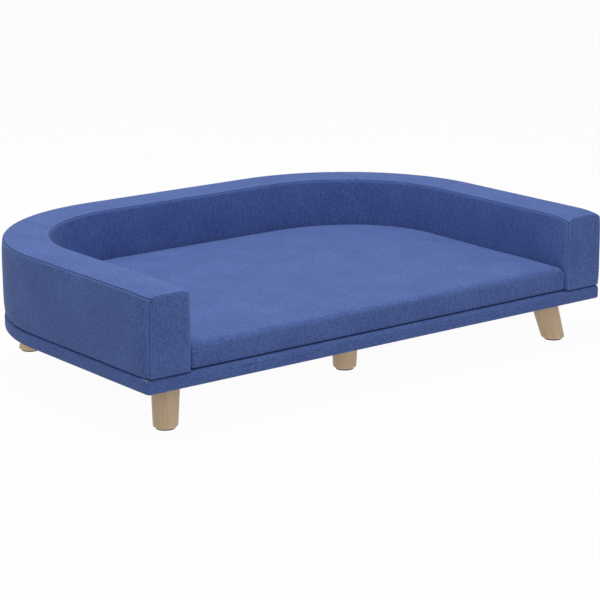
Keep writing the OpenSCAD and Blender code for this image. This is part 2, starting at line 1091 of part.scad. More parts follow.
module hanger_bolts() {
    color("silver")
        for (p = LEG_TOPS)
            translate([p[0], p[1], 0])
                hanger_bolt();
}

module tee_nuts() {
    color("silver")
        for (p = LEG_TOPS)
            translate([p[0], p[1], 0])
                tee_nut();
}

platform_board();
platform_padding();
platform_cover();
dust_cover();
bolster_base_plate();
bolster_top_plate();
bolster_posts();
bolster_outer_panel();
bolster_inner_panel();
arm_end_board_left();
arm_end_board_right();
bolster_foam();
bolster_outer_cover();
bolster_inner_cover();
top_strip_left();
top_strip_back();
top_strip_right();
arm_front_cover_left();
arm_front_cover_right();
bolster_screws();
mattress_foam();
mattress_cover();
zip_tape();
zip_teeth();
zip_slider();
leg_front_left();
leg_front_middle();
leg_front_right();
leg_rear_left();
leg_rear_middle();
leg_rear_right();
glide_front_left();
glide_front_middle();
glide_front_right();
glide_rear_left();
glide_rear_middle();
glide_rear_right();
hanger_bolts();
tee_nuts();
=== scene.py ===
"""Looks of an upholstered dog sofa bed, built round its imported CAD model.

A padded bolster runs round three sides of a platform on six turned legs, with a
loose mattress inside it. Lengths are in metres, in the frame of the CAD model:
the origin is on the floor under the middle, +X is the right side seen from the
front, +Y is the back and +Z is up.
"""

import sys
import json
import logging
import math
from dataclasses import dataclass, field
from enum import IntEnum
from typing import Callable, Iterable, Sequence

import bmesh
import bpy
from mathutils import Matrix, Vector, noise


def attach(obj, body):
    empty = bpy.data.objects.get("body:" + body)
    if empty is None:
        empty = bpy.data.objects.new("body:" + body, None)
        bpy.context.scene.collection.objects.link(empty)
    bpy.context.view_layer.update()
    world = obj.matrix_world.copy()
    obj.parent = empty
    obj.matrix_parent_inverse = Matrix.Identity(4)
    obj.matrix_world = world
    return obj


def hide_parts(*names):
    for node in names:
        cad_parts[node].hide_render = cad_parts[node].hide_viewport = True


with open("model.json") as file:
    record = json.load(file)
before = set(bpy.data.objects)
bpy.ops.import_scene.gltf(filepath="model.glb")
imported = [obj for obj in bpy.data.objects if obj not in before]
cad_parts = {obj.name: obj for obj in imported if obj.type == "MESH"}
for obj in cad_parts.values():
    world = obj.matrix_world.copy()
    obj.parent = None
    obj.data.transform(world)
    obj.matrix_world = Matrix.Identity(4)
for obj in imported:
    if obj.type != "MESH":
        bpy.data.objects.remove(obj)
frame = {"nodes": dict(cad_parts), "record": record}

LOG = logging.getLogger("dog_sofa_bed")
MM = 0.001

# Places closer than TOUCH are one place, and NEAR is close to a face. A face looks
# along an axis when its normal's part along it is more than FACING.
TOUCH = 0.01 * MM
NEAR = 0.1 * MM
FACING = 0.6

WEAVE_UV = "weave"
GRAIN = "grain"
# The seam attribute says how close a seam is, which places the cloth's painted seam shade and
# highlight and its stitches.
SEAM = "seam"
SEAM_REACH = 8 * MM
STITCH_REACH = 12 * MM

PUFF_FRAMES = 20
PUFF_PRESSURE = 4
CLOTH_ANGLE = math.radians(60)
TURNED_ANGLE = math.radians(35)

Colour = tuple[float, float, float]


# Modelling by hand, in code


def take_up(obj: bpy.types.Object) -> None:
    """Leaves edit mode and makes obj the only selected and the active object.

    Args:
        obj: The object to work on next.
    """
    if bpy.context.mode != "OBJECT":
        bpy.ops.object.mode_set(mode="OBJECT")
    bpy.ops.object.select_all(action="DESELECT")
    obj.select_set(True)
    bpy.context.view_layer.objects.active = obj


def put_down() -> None:
    """Leaves edit mode and deselects every object."""
    if bpy.context.mode != "OBJECT":
        bpy.ops.object.mode_set(mode="OBJECT")
    bpy.ops.object.select_all(action="DESELECT")


def edit(obj: bpy.types.Object, kind: str = "FACE") -> None:
    """Opens obj in edit mode with nothing selected.

    Args:
        obj: The mesh object to edit.
        kind: What the selection is made of: VERT, EDGE or FACE.
    """
    take_up(obj)
    bpy.ops.object.mode_set(mode="EDIT")
    bpy.ops.mesh.select_mode(type=kind)
    bpy.ops.mesh.select_all(action="DESELECT")


def pick_edges(obj: bpy.types.Object, test: Callable[[Vector, Vector], bool]) -> None:
    """Selects, in edit mode, the edges whose two ends pass a test.

    Args:
        obj: The mesh object in edit mode.
        test: Says of an edge, from the places of its ends, whether it is wanted.
    """
    mesh = bmesh.from_edit_mesh(obj.data)
    for edge in mesh.edges:
        edge.select_set(test(edge.verts[0].co, edge.verts[1].co))
    bmesh.update_edit_mesh(obj.data)


def started(name: str) -> bpy.types.Object:
    """Names the primitive that was just added and places it in its own mesh.

    Args:
        name: Name of the object and of its mesh.

    Returns:
        The object, at the origin, unturned and unscaled.
    """
    obj = bpy.context.object
    obj.name = name
    obj.data.name = name
    bpy.ops.object.transform_apply(location=True, rotation=True, scale=True)
    return obj


def block(name: str, low: Sequence[float], high: Sequence[float]) -> bpy.types.Object:
    """Adds a box between two corners, to be shaped into a piece.

    Args:
        name: Name of the new object.
        low: Lowest corner.
        high: Highest corner.

    Returns:
        The new object, its place in its mesh.
    """
    put_down()
    centre = [(a + b) / 2 for a, b in zip(low, high)]
    bpy.ops.mesh.primitive_cube_add(size=1, location=centre)
    bpy.context.object.scale = [b - a for a, b in zip(low, high)]
    return started(name)


def apply_modifiers(obj: bpy.types.Object) -> None:
    """Applies every modifier of obj in its order.

    Args:
        obj: The mesh object that carries them.
    """
    take_up(obj)
    for modifier in list(obj.modifiers):
        bpy.ops.object.modifier_apply(modifier=modifier.name)


def smooth(obj: bpy.types.Object, angle: float) -> None:
    """Shades obj smooth up to an angle between its faces."""
    take_up(obj)
    bpy.ops.object.shade_smooth_by_angle(angle=angle)


def face_outwards(obj: bpy.types.Object) -> None:
    """Makes all the normals of a closed mesh point out of it.

    Args:
        obj: The mesh object.
    """
    edit(obj)
    bpy.ops.mesh.select_all(action="SELECT")
    bpy.ops.mesh.normals_make_consistent(inside=False)
    put_down()


def shape(obj: bpy.types.Object, place: Callable[[Vector], Vector]) -> None:
    """Moves every vertex of obj to the place that a function gives it.

    Args:
        obj: The mesh object.
        place: Gives the new place of a vertex from its old one.
    """
    for vertex in obj.data.vertices:
        vertex.co = place(vertex.co)
    obj.data.update()


def refine(obj: bpy.types.Object) -> None:
    """Subdivides obj smoothly once, for good.

    Args:
        obj: The mesh object.
    """
    finer = obj.modifiers.new("Finer", "SUBSURF")
    finer.levels = 1
    finer.render_levels = 1
    apply_modifiers(obj)


def thicken(obj: bpy.types.Object, thickness: float, offset: float) -> None:
    """Gives a sheet its thickness, for good.

    Args:
        obj: The sheet, still without thickness.
        thickness: The thickness.
        offset: 1 to add it along the normals, and -1 against them.
    """
    wall = obj.modifiers.new("Wall", "SOLIDIFY")
    wall.thickness = thickness
    wall.offset = offset
    apply_modifiers(obj)


def round_level(
    obj: bpy.types.Object, level: float, radius: float, segments: int, clamped: bool = False
) -> None:
    """Rounds the edges of obj that lie at a height.

    Args:
        obj: The mesh object.
        level: Height of the edges.
        radius: Width of the bevel.
        segments: Number of its faces across.
        clamped: Keeps the bevel from running over itself.
    """
    edit(obj, "EDGE")
    pick_edges(obj, lambda a, b: abs(a.z - level) < TOUCH and abs(b.z - level) < TOUCH)
    bpy.ops.mesh.bevel(offset=radius, segments=segments, affect="EDGES", clamp_overlap=clamped)
    put_down()


def duplicate(obj: bpy.types.Object) -> bpy.types.Object:
    """Copies obj and its mesh into the scene.

    Args:
        obj: The object to copy.

    Returns:
        The copy.
    """
    copy = obj.copy()
    copy.data = obj.data.copy()
    bpy.context.scene.collection.objects.link(copy)
    return copy


def puff(obj: bpy.types.Object, cap: float, held: str) -> None:
    """Blows a closed cover up by cloth simulation and keeps the result.

    Args:
        obj: The closed mesh of the cover.
        cap: The furthest that a point may move.
        held: Name of the vertex group that stays in place.
    """
    scene = bpy.context.scene
    before = [vertex.co.copy() for vertex in obj.data.vertices]
    take_up(obj)
    cloth = obj.modifiers.new("Cloth", "CLOTH")
    cloth.settings.quality = 5
    cloth.settings.use_pressure = True
    cloth.settings.uniform_pressure_force = PUFF_PRESSURE
    cloth.settings.effector_weights.gravity = 0
    cloth.settings.vertex_group_mass = held
    cloth.collision_settings.use_collision = False
    cloth.point_cache.frame_start = 1
    cloth.point_cache.frame_end = PUFF_FRAMES
    for number in range(1, PUFF_FRAMES + 1):
        scene.frame_set(number)
    bpy.ops.object.modifier_apply(modifier=cloth.name)
    scene.frame_set(1)
    for vertex, start in zip(obj.data.vertices, before):
        way = vertex.co - start
        if way.length > cap:
            vertex.co = start + way * (cap / way.length)


def own_uv(
    obj: bpy.types.Object, lay: Callable[[int, Vector, Vector], tuple[float, float]]
) -> None:
    """Writes the weave's UV map, in metres of cloth.

    Args:
        obj: The mesh object.
        lay: Gives the cloth's place of a corner, from the face's material
            number, the face's normal and the corner's place.
    """
    mesh = obj.data
    layer = mesh.uv_layers.get(WEAVE_UV) or mesh.uv_layers.new(name=WEAVE_UV)
    for face in mesh.polygons:
        for loop in face.loop_indices:
            corner = mesh.vertices[mesh.loops[loop].vertex_index].co
            layer.data[loop].uv = lay(face.material_index, face.normal, corner)


def finish_piece(
    obj: bpy.types.Object,
    body: str,
    material: bpy.types.Material,
    nodes: Iterable[str] = (),
) -> None:
    """Dresses a finished piece and joins it to the CAD model.

    Args:
        obj: The finished piece.
        body: The CAD body that it rides on.
        material: Its material.
        nodes: The CAD nodes that it stands for.
    """
    obj.data.materials.clear()
    obj.data.materials.append(material)
    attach(obj, body)
    if nodes:
        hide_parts(*nodes)
    put_down()
    LOG.info("%s: %d faces on %s", obj.name, len(obj.data.polygons), body)


# Finishes


class Graph:
    """Node tree of one material, with short ways to add and join nodes."""

    def __init__(self, name: str) -> None:
        """Starts a material with one Principled shader.

        Args:
            name: Name of the material.
        """
        self.material = bpy.data.materials.new(name)
        self.material.use_nodes = True
        self.tree = self.material.node_tree
        self.shader = self.tree.nodes["Principled BSDF"]

    def node(self, kind: str, **settings: object) -> bpy.types.Node:
        """Adds a node of a kind with its settings.

        Args:
            kind: Blender's name of the node, without ShaderNode.
            settings: Attributes to set on the node.

        Returns:
            The new node.
        """
        made = self.tree.nodes.new("ShaderNode" + kind)
        for name, value in settings.items():
            setattr(made, name, value)
        return made

    def join(self, value: object, socket: bpy.types.NodeSocket) -> None:
        """Links a socket into another, or sets a plain value on it.

        Args:
            value: An output to link from, or a plain value.
            socket: The input that takes it.
        """
        if isinstance(value, bpy.types.NodeSocket):
            self.tree.links.new(value, socket)
        else:
            socket.default_value = value

    def uv(self) -> bpy.types.NodeSocket:
        """The weave's UV map, in metres of cloth."""
        return self.node("UVMap", uv_map=WEAVE_UV).outputs["UV"]

    def place(self) -> bpy.types.NodeSocket:
        """Object coordinates."""
        return self.node("TexCoord").outputs["Object"]

    def attribute(self, name: str) -> bpy.types.NodeSocket:
        """A vector that the mesh carries."""
        return self.node("Attribute", attribute_name=name).outputs["Vector"]

    def parts(self, vector: object) -> list[bpy.types.NodeSocket]:
        """Splits a vector.

        Args:
            vector: The output that gives the vector.

        Returns:
            The outputs of its three parts.
        """
        made = self.node("SeparateXYZ")
        self.join(vector, made.inputs[0])
        return list(made.outputs)

    def stretched(self, vector: object, scale: Sequence[float]) -> bpy.types.NodeSocket:
        """Multiplies a vector by a scale on each axis.

        Args:
            vector: The output that gives the vector.
            scale: The three scales.

        Returns:
            The output of the product.
        """
        made = self.node("VectorMath", operation="MULTIPLY")
        self.join(vector, made.inputs[0])
        made.inputs[1].default_value = scale
        return made.outputs["Vector"]

    def noise(
        self, vector: object, scale: float, detail: float = 2, rough: float = 0.5
    ) -> bpy.types.NodeSocket:
        """Adds smooth noise between 0 and 1.

        Args:
            vector: The output that gives the place.
            scale: Features for each unit of the vector.
            detail: Number of finer layers.
            rough: Strength of the finer layers.

        Returns:
            The output of the noise.
        """
        made = self.node("TexNoise")
        self.join(vector, made.inputs["Vector"])
        made.inputs["Scale"].default_value = scale
        made.inputs["Detail"].default_value = detail
        made.inputs["Roughness"].default_value = rough
        return made.outputs["Fac"]

    def math(self, operation: str, *values: object) -> bpy.types.NodeSocket:
        """Does one sum on numbers or sockets.

        Args:
            operation: Blender's name of the sum.
            values: The numbers or outputs that go in.

        Returns:
            The output of the result.
        """
        made = self.node("Math", operation=operation)
        for value, socket in zip(values, made.inputs):
            self.join(value, socket)
        return made.outputs[0]

    def ramp(
        self, value: object, low: float, high: float, to_low: float, to_high: float
    ) -> bpy.types.NodeSocket:
        """Maps a value's range to another, clamped.

        Args:
            value: The output that gives the value.
            low: Where the range starts.
            high: Where the range ends.
            to_low: The result at and below low.
            to_high: The result at and above high.

        Returns:
            The output of the result.
        """
        made = self.node("MapRange")
        for item, socket in zip((value, low, high, to_low, to_high), made.inputs):
            self.join(item, socket)
        return made.outputs["Result"]

    def blend(self, share: object, one: object, other: object) -> bpy.types.NodeSocket:
        """Mixes two colours.

        Args:
            share: The output that gives the share of the other colour.
            one: The first colour, or the output that gives it.
            other: The other colour, or the output that gives it.

        Returns:
            The output of the mixed colour.
        """
        made = self.node("Mix", data_type="RGBA")
        self.join(share, made.inputs["Factor"])
        self.join((*one, 1) if isinstance(one, tuple) else one, made.inputs["A"])
        self.join((*other, 1) if isinstance(other, tuple) else other, made.inputs["B"])
        return made.outputs["Result"]

    def bump(self, height: object, depth: float, strength: float = 1) -> None:
        """Lets a height between 0 and 1 dent the surface.

        Args:
            height: The output that gives the height.
            depth: How deep the dents are, in metres.
            strength: Share of the dents that shows.
        """
        made = self.node("Bump")
        made.inputs["Strength"].default_value = strength
        made.inputs["Distance"].default_value = depth
        self.join(height, made.inputs["Height"])
        self.tree.links.new(made.outputs["Normal"], self.shader.inputs["Normal"])

    def set(self, **values: object) -> None:
        """Sets or links inputs of the Principled shader, underscores for spaces."""
        for name, value in values.items():
            self.join(value, self.shader.inputs[name.replace("_", " ")])


@dataclass(frozen=True)
class Threads:
    """One layer of threads in a cloth, as noise stretched along them."""

    scale: tuple[float, float]
    weight: float
    detail: float = 2
    rough: float = 0.6


@dataclass(frozen=True)
class Linen:
    """Woven upholstery cloth with slubs along one thread; seams get painted shade and highlight.
    """

    name: str = "linen"
    colour: Colour = (0.088, 0.145, 0.392)
    dark: Colour = (0.062, 0.105, 0.306)
    # Paler threads; the same colour paints the highlight on each seam's roll and colours the
    # stitches.
    light: Colour = (0.121, 0.192, 0.488)
    # Painted shade in the crease of each seam.
    crease: Colour = (0.024, 0.040, 0.125)
    sheen: Colour = (0.62, 0.70, 0.95)
    layers: tuple[Threads, ...] = (
        Threads((45, 420), 0.16),
        Threads((80, 380), 0.11, detail=3),
        Threads((220, 900), 0.10),
        Threads((620, 130), 0.15),
        Threads((240, 240), 0.36, detail=3, rough=0.65),
        Threads((14, 14), 0.12, rough=0.5),
    )
    dark_range: tuple[float, float] = (0.42, 0.50)
    light_range: tuple[float, float] = (0.50, 0.58)
    # Band beside a seam that gets a painted highlight on its roll, and the highlight's strength.
    roll_start: tuple[float, float] = (0.45, 0.62)
    roll_end: tuple[float, float] = (0.72, 0.84)
    roll_highlight_share: float = 0.55
    # Band in a seam's crease that gets painted shade, and the shade's strength.
    crease_shade_range: tuple[float, float] = (0.84, 0.95)
    crease_shade_share: float = 0.85
    thread: float = 0.9 * MM
    weave_depth: float = 0.10 * MM
    weave_height: float = 0.3
    slub_height: float = 0.8
    stitch: float = 3.6 * MM
    stitch_line: float = 5 * MM
    stitch_edge: tuple[float, float] = (0.03, 0.07)
    stitch_gap: tuple[float, float] = (-0.7, -0.2)
    stitch_gap_share: float = 0.25
    stitch_share: float = 0.9
    stitch_dent: float = 2.4

    def material(self) -> bpy.types.Material:
        """Builds the cloth from its UV map, in metres of cloth, and its seams.

        Returns:
            The material.
        """
        graph = Graph(self.name)
        uv = graph.uv()
        share = self.lightness(graph, uv)
        # How close a seam is sets where the painted seam shade and highlight go.
        edge, stitched, run = graph.parts(graph.attribute(SEAM))
        thread = self.stitches(graph, stitched, run)
        graph.set(Base_Color=self.coloured(graph, share, edge, thread))
        graph.bump(self.raised(graph, uv, share, thread), self.weave_depth)
        graph.set(Roughness=0.92, Specular_IOR_Level=0.18)
        graph.set(Sheen_Weight=0.15, Sheen_Roughness=0.45, Sheen_Tint=(*self.sheen, 1))
        return graph.material

    def lightness(self, graph: Graph, uv: object) -> bpy.types.NodeSocket:
        """Adds up long slubs, finer threads both ways and soft spots.

        Args:
            graph: The material's nodes.
            uv: The output that gives the place on the cloth.

        Returns:
            The output that says how light the thread is.
        """
        total: object = 0.0
        for layer in self.layers:
            stretched = graph.stretched(uv, (*layer.scale, 1))
            noisy = graph.noise(stretched, 1, layer.detail, layer.rough)
            total = graph.math("MULTIPLY_ADD", noisy, layer.weight, total)
        return total

    def stitches(self, graph: Graph, stitched: object, run: object) -> bpy.types.NodeSocket:
        """Draws a row of stitches beside each seam that is sewn down.

        Args:
            graph: The material's nodes.
            stitched: The output that says how close the seam is.
            run: The output that gives the place along it.

        Returns:
            The output that is 1 on a stitch and 0 away from it.
        """
        middle = 1 - self.stitch_line / STITCH_REACH
        off = graph.math("ABSOLUTE", graph.math("SUBTRACT", stitched, middle))
        row = graph.ramp(off, *self.stitch_edge, 1, 0)
        wave = graph.math("SINE", graph.math("MULTIPLY", run, 2 * math.pi / self.stitch))
        thread = graph.ramp(wave, *self.stitch_gap, self.stitch_gap_share, 1)
        return graph.math("MULTIPLY", row, thread)

    def coloured(
        self, graph: Graph, share: object, edge: object, thread: object
    ) -> bpy.types.NodeSocket:
        """Colours the threads and the stitches, and paints a highlight on a seam's roll and shade
        in its crease.

        Args:
            graph: The material's nodes.
            share: The output that says how light the thread is.
            edge: The output that says how close a seam is.
            thread: The output that says where a stitch is.

        Returns:
            The output of the colour.
        """
        woven = graph.blend(graph.ramp(share, *self.dark_range, 0, 1), self.dark, self.colour)
        woven = graph.blend(graph.ramp(share, *self.light_range, 0, 1), woven, self.light)
        # Painted highlight on the roll beside each seam.
        rising = graph.ramp(edge, *self.roll_start, 0, 1)
        falling = graph.ramp(edge, *self.roll_end, self.roll_highlight_share, 0)
        roll_highlight = graph.math("MULTIPLY", rising, falling)
        sewn = graph.math("MULTIPLY", thread, self.stitch_share)
        highlight_and_stitches = graph.blend(graph.math("MAXIMUM", roll_highlight, sewn), woven, self.light)
        # Painted shade in the crease of each seam.
        crease_shade = graph.ramp(edge, *self.crease_shade_range, 0, self.crease_shade_share)
        return graph.blend(crease_shade, highlight_and_stitches, self.crease)

    def raised(
        self, graph: Graph, uv: object, share: object, thread: object
    ) -> bpy.types.NodeSocket:
        """Raises the weave and its slubs, and lets the stitches sink in.

        Args:
            graph: The material's nodes.
            uv: The output that gives the place on the cloth.
            share: The output that says how light the thread is.
            thread: The output that says where a stitch is.

        Returns:
            The output of the height.
        """
        u, v, _ = graph.parts(uv)
        turn = math.pi / self.thread
        across = graph.math("SINE", graph.math("MULTIPLY", u, turn))
        along = graph.math("SINE", graph.math("MULTIPLY", v, turn))
        weave = graph.math("MULTIPLY", graph.math("MULTIPLY", across, along), self.weave_height)
        height = graph.math("MULTIPLY_ADD", share, self.slub_height, weave)
        dent = graph.math("MULTIPLY", thread, self.stitch_dent)
        return graph.math("SUBTRACT", height, dent)


@dataclass(frozen=True)
class Wood:
    """Wood with grain along the piece, or along one of the bed's axes."""

    name: str
    pale: Colour
    dark: Colour
    turned: bool = False
    grain: tuple[float, float, float] = (60, 60, 4)
    ring_scale: float = 0.25
    ring_count: float = 22
    ring_range: tuple[float, float] = (0.1, 0.5)
    ring_weight: float = 0.28
    fibre_scale: float = 18
    fibre_weight: float = 0.6
    fibre_depth: float = 0.05 * MM
    pore_scale: float = 50
    pore_range: tuple[float, float] = (0.62, 0.72)
    pore_weight: float = 0.12
    dark_range: tuple[float, float] = (0.2, 0.7)
    roughness: float = 0.42
    gloss: float = 0.55

    def material(self) -> bpy.types.Material:
        """Builds the wood: rings, long fibres and fine pores.

        Returns:
            The material.
        """
        graph = Graph(self.name)
        place = graph.attribute(GRAIN) if self.turned else graph.place()

        def fine(scale: float, detail: float, rough: float = 0.5) -> bpy.types.NodeSocket:
            """Noise along the grain, at a scale of it."""
            stretched = graph.stretched(place, tuple(part * scale for part in self.grain))
            return graph.noise(stretched, 1, detail, rough)

        bent = graph.math("MULTIPLY", fine(self.ring_scale, detail=2), self.ring_count)
        saw = graph.math("SUBTRACT", graph.math("FRACT", bent), 0.5)
        ring = graph.ramp(graph.math("ABSOLUTE", saw), *self.ring_range, 0, 1)
        fibre = fine(self.fibre_scale, detail=4, rough=0.65)
        pore = fine(self.pore_scale, detail=1)
        pore = graph.ramp(pore, *self.pore_range, 0, self.pore_weight)
        share = graph.math("MULTIPLY_ADD", ring, self.ring_weight, pore)
        share = graph.math("MULTIPLY_ADD", fibre, self.fibre_weight, share)
        darker = graph.ramp(share, *self.dark_range, 0, 1)
        graph.set(Base_Color=graph.blend(darker, self.pale, self.dark))
        graph.bump(fibre, self.fibre_depth, strength=0.5)
        graph.set(Roughness=self.roughness, Specular_IOR_Level=self.gloss)
        return graph.material


@dataclass(frozen=True)
class Grainy:
    """Plain finish with fine noise in its colour and surface."""

    name: str
    colour: Colour
    other: Colour
    scale: float
    depth: float = 0.02 * MM
    roughness: float = 0.6
    roughness_swing: float = 0.06
    metallic: float = 0
    gloss: float = 0.5
    colour_range: tuple[float, float] = (0.35, 0.65)
    roughness_range: tuple[float, float] = (0.3, 0.7)

    def material(self) -> bpy.types.Material:
        """Builds the finish on Object coordinates.

        Returns:
            The material.
        """
        graph = Graph(self.name)
        grit = graph.noise(graph.place(), self.scale, detail=4, rough=0.6)
        share = graph.ramp(grit, *self.colour_range, 0, 1)
        low, high = self.roughness - self.roughness_swing, self.roughness + self.roughness_swing
        graph.set(Base_Color=graph.blend(share, self.colour, self.other))
        graph.set(Metallic=self.metallic, Specular_IOR_Level=self.gloss)
        graph.set(Roughness=graph.ramp(grit, *self.roughness_range, low, high))
        graph.bump(grit, self.depth)
        return graph.material


FINISHES = (
    Linen(),
    Wood("leg_wood", (0.92, 0.68, 0.44), (0.79, 0.53, 0.31), turned=True, grain=(90, 90, 5)),
    Wood("plywood", (0.60, 0.44, 0.26), (0.44, 0.29, 0.15), grain=(4, 60, 60), roughness=0.7),
    Wood("post_wood", (0.66, 0.50, 0.31), (0.50, 0.33, 0.17), roughness=0.7),
    Grainy("glide_rubber", (0.085, 0.075, 0.065), (0.12, 0.11, 0.10), 900),
    Grainy("bent_board", (0.20, 0.115, 0.055), (0.27, 0.165, 0.085), 420, roughness=0.75),
    Grainy("foam", (0.62, 0.56, 0.36), (0.78, 0.73, 0.52), 700, 0.4 * MM, 0.95),
    Grainy(
        "dust_cloth", (0.012, 0.012, 0.013), (0.03, 0.03, 0.032), 1100, 0.06 * MM, 0.9, gloss=0.2
    ),
    Grainy(
        "zinc_steel", (0.50, 0.51, 0.53), (0.62, 0.63, 0.64), 300, roughness=0.36, metallic=1
    ),
    Grainy("slider_metal", (0.035, 0.055, 0.17), (0.05, 0.075, 0.21), 500, roughness=0.35),
    Grainy(
        "zip_nylon", (0.03, 0.05, 0.16), (0.045, 0.07, 0.2), 800, roughness=0.45, gloss=0.3
    ),
    Grainy("zip_cloth", (0.03, 0.05, 0.17), (0.05, 0.08, 0.24), 1500, 0.1 * MM, 0.9, gloss=0.15),
    Grainy("thread", (0.42, 0.46, 0.58), (0.55, 0.59, 0.70), 2500, roughness=0.8),
)


# Outlines


@dataclass(frozen=True)
class Outline:
    """Plan of a piece that is square at the front and round at the rear corners."""

    half_width: float
    front: float
    back: float
    radius: float

    @property
    def corner_x(self) -> float:
        """Distance of a rear corner's centre from the middle."""
        return self.half_width - self.radius

    @property
    def corner_y(self) -> float:
        """Place of the rear corners' centres along the depth."""
        return self.back - self.radius

    @property
    def arm(self) -> float:
        """Length of a straight side."""
        return self.corner_y - self.front

    def locate(self, p: Vector) -> tuple[float, float, Vector]:
        """Finds a point in relation to the sides and the back.

        Args:
            p: A point of the piece.

        Returns:
            How far in it lies, the angle round the corner from the side, and
            the horizontal way out.
        """
        side = -1 if p.x < 0 else 1
        x, y = abs(p.x) - self.corner_x, p.y - self.corner_y
        if y <= 0:
            return self.radius - x, 0, Vector((side, 0, 0))
        if x <= 0:
            return self.radius - y, math.pi / 2, Vector((0, 1, 0))
        reach = math.hypot(x, y)
        return self.radius - reach, math.atan2(y, x), Vector((side * x / reach, y / reach, 0))

    def inside(self, inset: float) -> "Outline":
        """The outline that lies inset further in."""
        return Outline(
            self.half_width - inset, self.front + inset, self.back - inset, self.radius - inset
        )

    def round_places(self, gap: float) -> list[tuple[tuple[float, float], float]]:
        """Finds even places round the whole outline.

        Args:
            gap: Wanted distance between two places.

        Returns:
            Each place, with the outline's heading there.
        """
        arc = self.radius * math.pi / 2
        length = self.corner_x + arc + self.arm
        half = []
        count = round(length / gap)
        for i in range(count):
            run = length * (i + 0.5) / count
            if run < self.corner_x:
                half.append(((run, self.back), 0.0))
            elif run < self.corner_x + arc:
                turn = (run - self.corner_x) / self.radius
                x = self.corner_x + self.radius * math.sin(turn)
                half.append(((x, self.corner_y + self.radius * math.cos(turn)), -turn))
            else:
                y = self.corner_y - (run - self.corner_x - arc)
                half.append(((self.half_width, y), math.pi / 2))
        left = [((-x, y), -angle) for (x, y), angle in half]
        width = 2 * self.half_width
        count = round(width / gap)
        front = [((width * ((i + 0.5) / count - 0.5), self.front), 0.0) for i in range(count)]
        return half + left + front

    def along(self, p: Vector, inset: float = 0) -> float:
        """Measures the outline from the middle of the back to a point.

        Args:
            p: The point.
            inset: How far the outline is taken in.

        Returns:
            The length, negative on the left.
        """
        _, angle, _ = self.locate(p)
        side = -1 if p.x < 0 else 1
        straight = min(abs(p.x), self.corner_x)
        arm = max(self.corner_y - p.y, 0) if angle < math.pi / 2 else 0
        return side * (straight + (self.radius - inset) * (math.pi / 2 - angle) + arm)


BED = Outline(450 * MM, -304.5 * MM, 304.5 * MM, 283.5 * MM)
DECK = 92.8 * MM


def within(share: float) -> float:
    """Keeps a share between 0 and 1."""
    return min(max(share, 0), 1)


def swell(share: float, power: float) -> float:
    """Height share of a swollen face at a share of its width."""
    return 1 - abs(2 * share - 1) ** power


def round_corners(piece: bpy.types.Object, plan: Outline, front_radius: float) -> None:
    """Rounds the upright edges of a block: wide at the back, small at the front.

    Args:
        piece: The block.
        plan: Its outline.
        front_radius: Radius of its front corners.
    """
    middle = (plan.front + plan.back) / 2
    for radius, segments, rear in ((plan.radius, 30, True), (front_radius, 6, False)):
        edit(piece, "EDGE")
        widest = max(abs(v.co.x) for v in bmesh.from_edit_mesh(piece.data).verts)

        def at_corner(a: Vector, b: Vector) -> bool:
            """Whether an edge stands at the wanted end of the block."""
            upright = abs(a.x - b.x) + abs(a.y - b.y) < TOUCH and abs(a.z - b.z) > NEAR
            return upright and abs(abs(a.x) - widest) < TOUCH and (a.y > middle) == rear

        pick_edges(piece, at_corner)
        bpy.ops.mesh.bevel(offset=radius, segments=segments, affect="EDGES", clamp_overlap=False)
        put_down()


def round_rims(piece: bpy.types.Object, top_radius: float, low_radius: float) -> None:
    """Rounds the upper and the lower rim of a block.

    Args:
        piece: The block.
        top_radius: Radius of its upper rim.
        low_radius: Radius of its lower rim.
    """
    heights = [v.co.z for v in piece.data.vertices]
    for level, radius in ((max(heights), top_radius), (min(heights), low_radius)):
        round_level(piece, level, radius, segments=4)


# The bolster


class Panel(IntEnum):
    """Panels of the bolster's cover, in the order of the shell's materials."""

    OUTER = 0
    INNER = 1
    TOP_LEFT = 2
    TOP_BACK = 3
    TOP_RIGHT = 4
    FRONT_LEFT = 5
    FRONT_RIGHT = 6
    UNDER = 7


PANEL_NODES = {
    Panel.OUTER: ("bolster_outer_cover", "bolster_foam"),
    Panel.INNER: ("bolster_inner_cover",),
    Panel.TOP_LEFT: ("top_strip_left",),
    Panel.TOP_BACK: ("top_strip_back",),
    Panel.TOP_RIGHT: ("top_strip_right",),
    Panel.FRONT_LEFT: ("arm_front_cover_left",),
    Panel.FRONT_RIGHT: ("arm_front_cover_right",),
}


